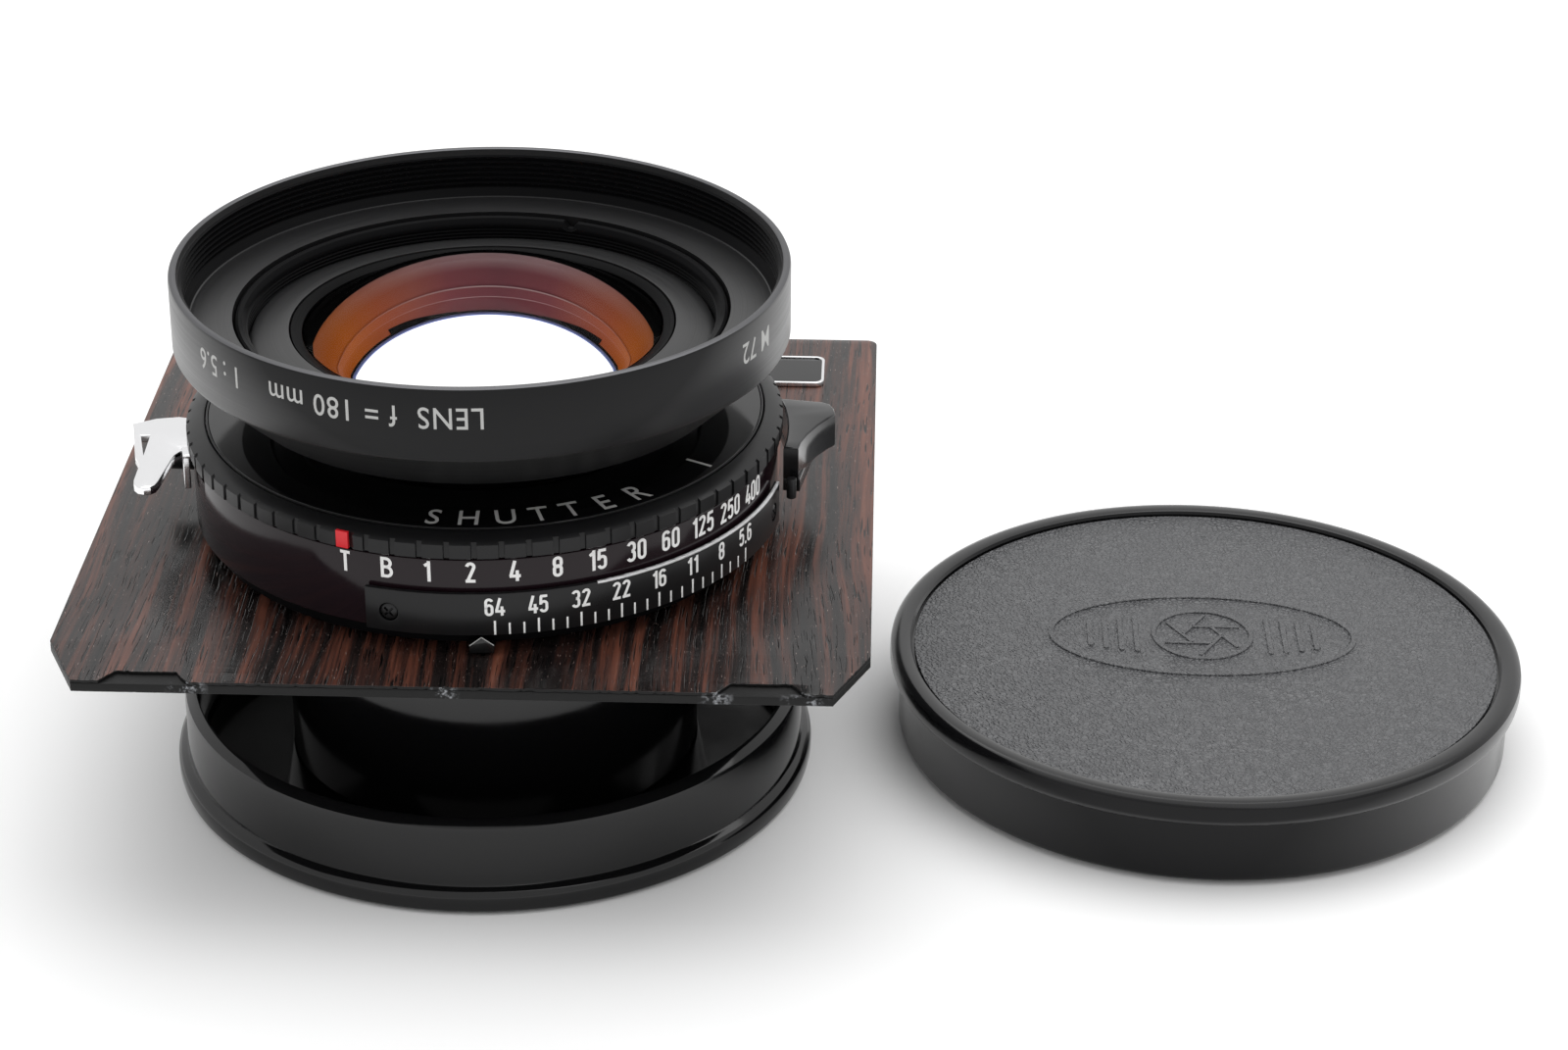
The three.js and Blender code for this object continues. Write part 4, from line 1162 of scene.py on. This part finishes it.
def make_emblem():
    """A plain raised rosette in an oval, moulded into the front cap's panel."""
    offset, width, depth, line, hub, hub_line = EMBLEM.values()
    x, y = FRONT_CAP_AT[0], FRONT_CAP_AT[1] + offset
    top = CAP["height"] - CAP["recess"]

    def oval(reach, rise, steps=96):
        turns = [2 * math.pi * i / steps for i in range(steps)]
        return [(x + reach * math.cos(a), y + rise * math.sin(a)) for a in turns]

    def raised(name, outlines, height=0.2, bevel=0.1):
        mesh = plate_mesh(name, outlines, top - 0.1, top + height, bevel)
        finish_piece(f"emblem_{name}", mesh, LEATHER, body="front_cap")

    raised("border", [oval(width, depth), oval(width - line, depth - line)])
    raised("ring", [oval(hub, hub), oval(hub - hub_line, hub - hub_line)])
    for i in range(6):
        a = math.radians(60 * i)
        along, across = Vector((math.cos(a), math.sin(a))), Vector((-math.sin(a), math.cos(a)))
        start = Vector((x, y)) + across * 2.2 - along * 1.27
        end = start + along * 6.2
        side = across * 0.25
        corners = (start + side, start - side, end - side, end + side)
        raised(f"line_{i + 1}", [[tuple(corner) for corner in corners]], 0.18, 0.08)
    for i, reach in enumerate((8.6, 10.6, 12.6, 14.6)):
        half = 5.4 * math.sqrt(1 - (reach / 19) ** 2)
        for k, sign in enumerate((-1, 1)):
            bar = rounded_rectangle((x + sign * reach, y), 0.7, 2 * half, 0.3)
            raised(f"bar_{2 * i + k + 1}", [bar], 0.18, 0.08)


# ---- Stage, light and camera ----
def make_stage():
    size, low = 4000, -0.2
    corners = [(x, y, low) for x, y in box(-size, size, -size, size)]
    mesh = mesh_from("floor", (corners, [[0, 1, 2, 3]]))
    floor = in_scene("floor", mesh)
    pale, _, _ = new_material("pale_floor", (0.93, 0.93, 0.93), 0.7, Specular_IOR_Level=0.2)
    mesh.materials.append(pale)


def make_light():
    """A plain white surround, and one large soft light overhead."""
    world = bpy.data.worlds.new("studio")
    world.use_nodes = True
    background = world.node_tree.nodes["Background"]
    background.inputs[0].default_value = (1, 1, 1, 1)
    background.inputs[1].default_value = 0.92
    bpy.context.scene.world = world
    bpy.context.scene.view_settings.view_transform = "Standard"
    light = bpy.data.lights.new("overhead", "AREA")
    light.shape = "RECTANGLE"
    light.size, light.size_y = 1.5, 1.2
    light.energy = 9.0
    holder = in_scene("overhead", light)
    place, target = Vector((0.16, 0.26, 1.15)), Vector((0.04, 0, 0))
    holder.location = place
    holder.rotation_euler = (target - place).to_track_quat("-Z", "Y").to_euler()
    holder.visible_transmission = False


def make_camera():
    down, yaw, roll = (math.radians(a) for a in (CAMERA_DOWN, CAMERA_YAW, CAMERA_ROLL))
    forward = Vector((math.sin(yaw) * math.cos(down), math.cos(yaw) * math.cos(down), -math.sin(down)))
    level = Vector((math.cos(yaw), -math.sin(yaw), 0))
    up = level.cross(forward)
    right = level * math.cos(roll) + up * math.sin(roll)
    top = up * math.cos(roll) - level * math.sin(roll)
    lens = bpy.data.cameras.new("camera")
    lens.lens, lens.sensor_width = FOCAL_LENGTH, SENSOR
    holder = in_scene("camera", lens)
    turn = Matrix((right, top, -forward)).transposed().to_4x4()
    holder.matrix_world = Matrix.Translation(Vector(CAMERA_AT) * MM) @ turn
    bpy.context.scene.camera = holder


def finish_inner_nodes():
    """CAD nodes inside the shutter keep their shape and get their material."""
    blades = [f"{kind}_blade_{i}" for kind in ("iris", "shutter") for i in range(1, 6)]
    for material, names in (
        (BRASS, ["mechanism_plate", "blade_spacer", "sync_contact", "iris_cam_ring", "governor_gear"]),
        (STEEL, ["main_spring", "speed_cam_ring"]), (BLACK_STEEL, ["blade_cover"]), (MATT, ["rear_spacer"]),
        (BLADES, blades),
    ):
        for name in names:
            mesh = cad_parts[name].data
            mesh.materials.clear()
            mesh.materials.append(material)


make_camera()
make_stage()
make_light()
make_board()
make_badge()
make_housing()
make_rings()
make_speed_ring()
make_scale_plate()
make_markings()
make_pointer()
make_levers()
make_side_fittings()
make_hood()
make_front_cell()
make_front_glass()
make_coated_bowl()
make_rear_glass()
make_rear_cell()
make_cap("rear_cap", False, (0, 0), CAP_BLACK)
make_cap("front_cap", True, FRONT_CAP_AT, CAP_SATIN)
make_emblem()
finish_inner_nodes()
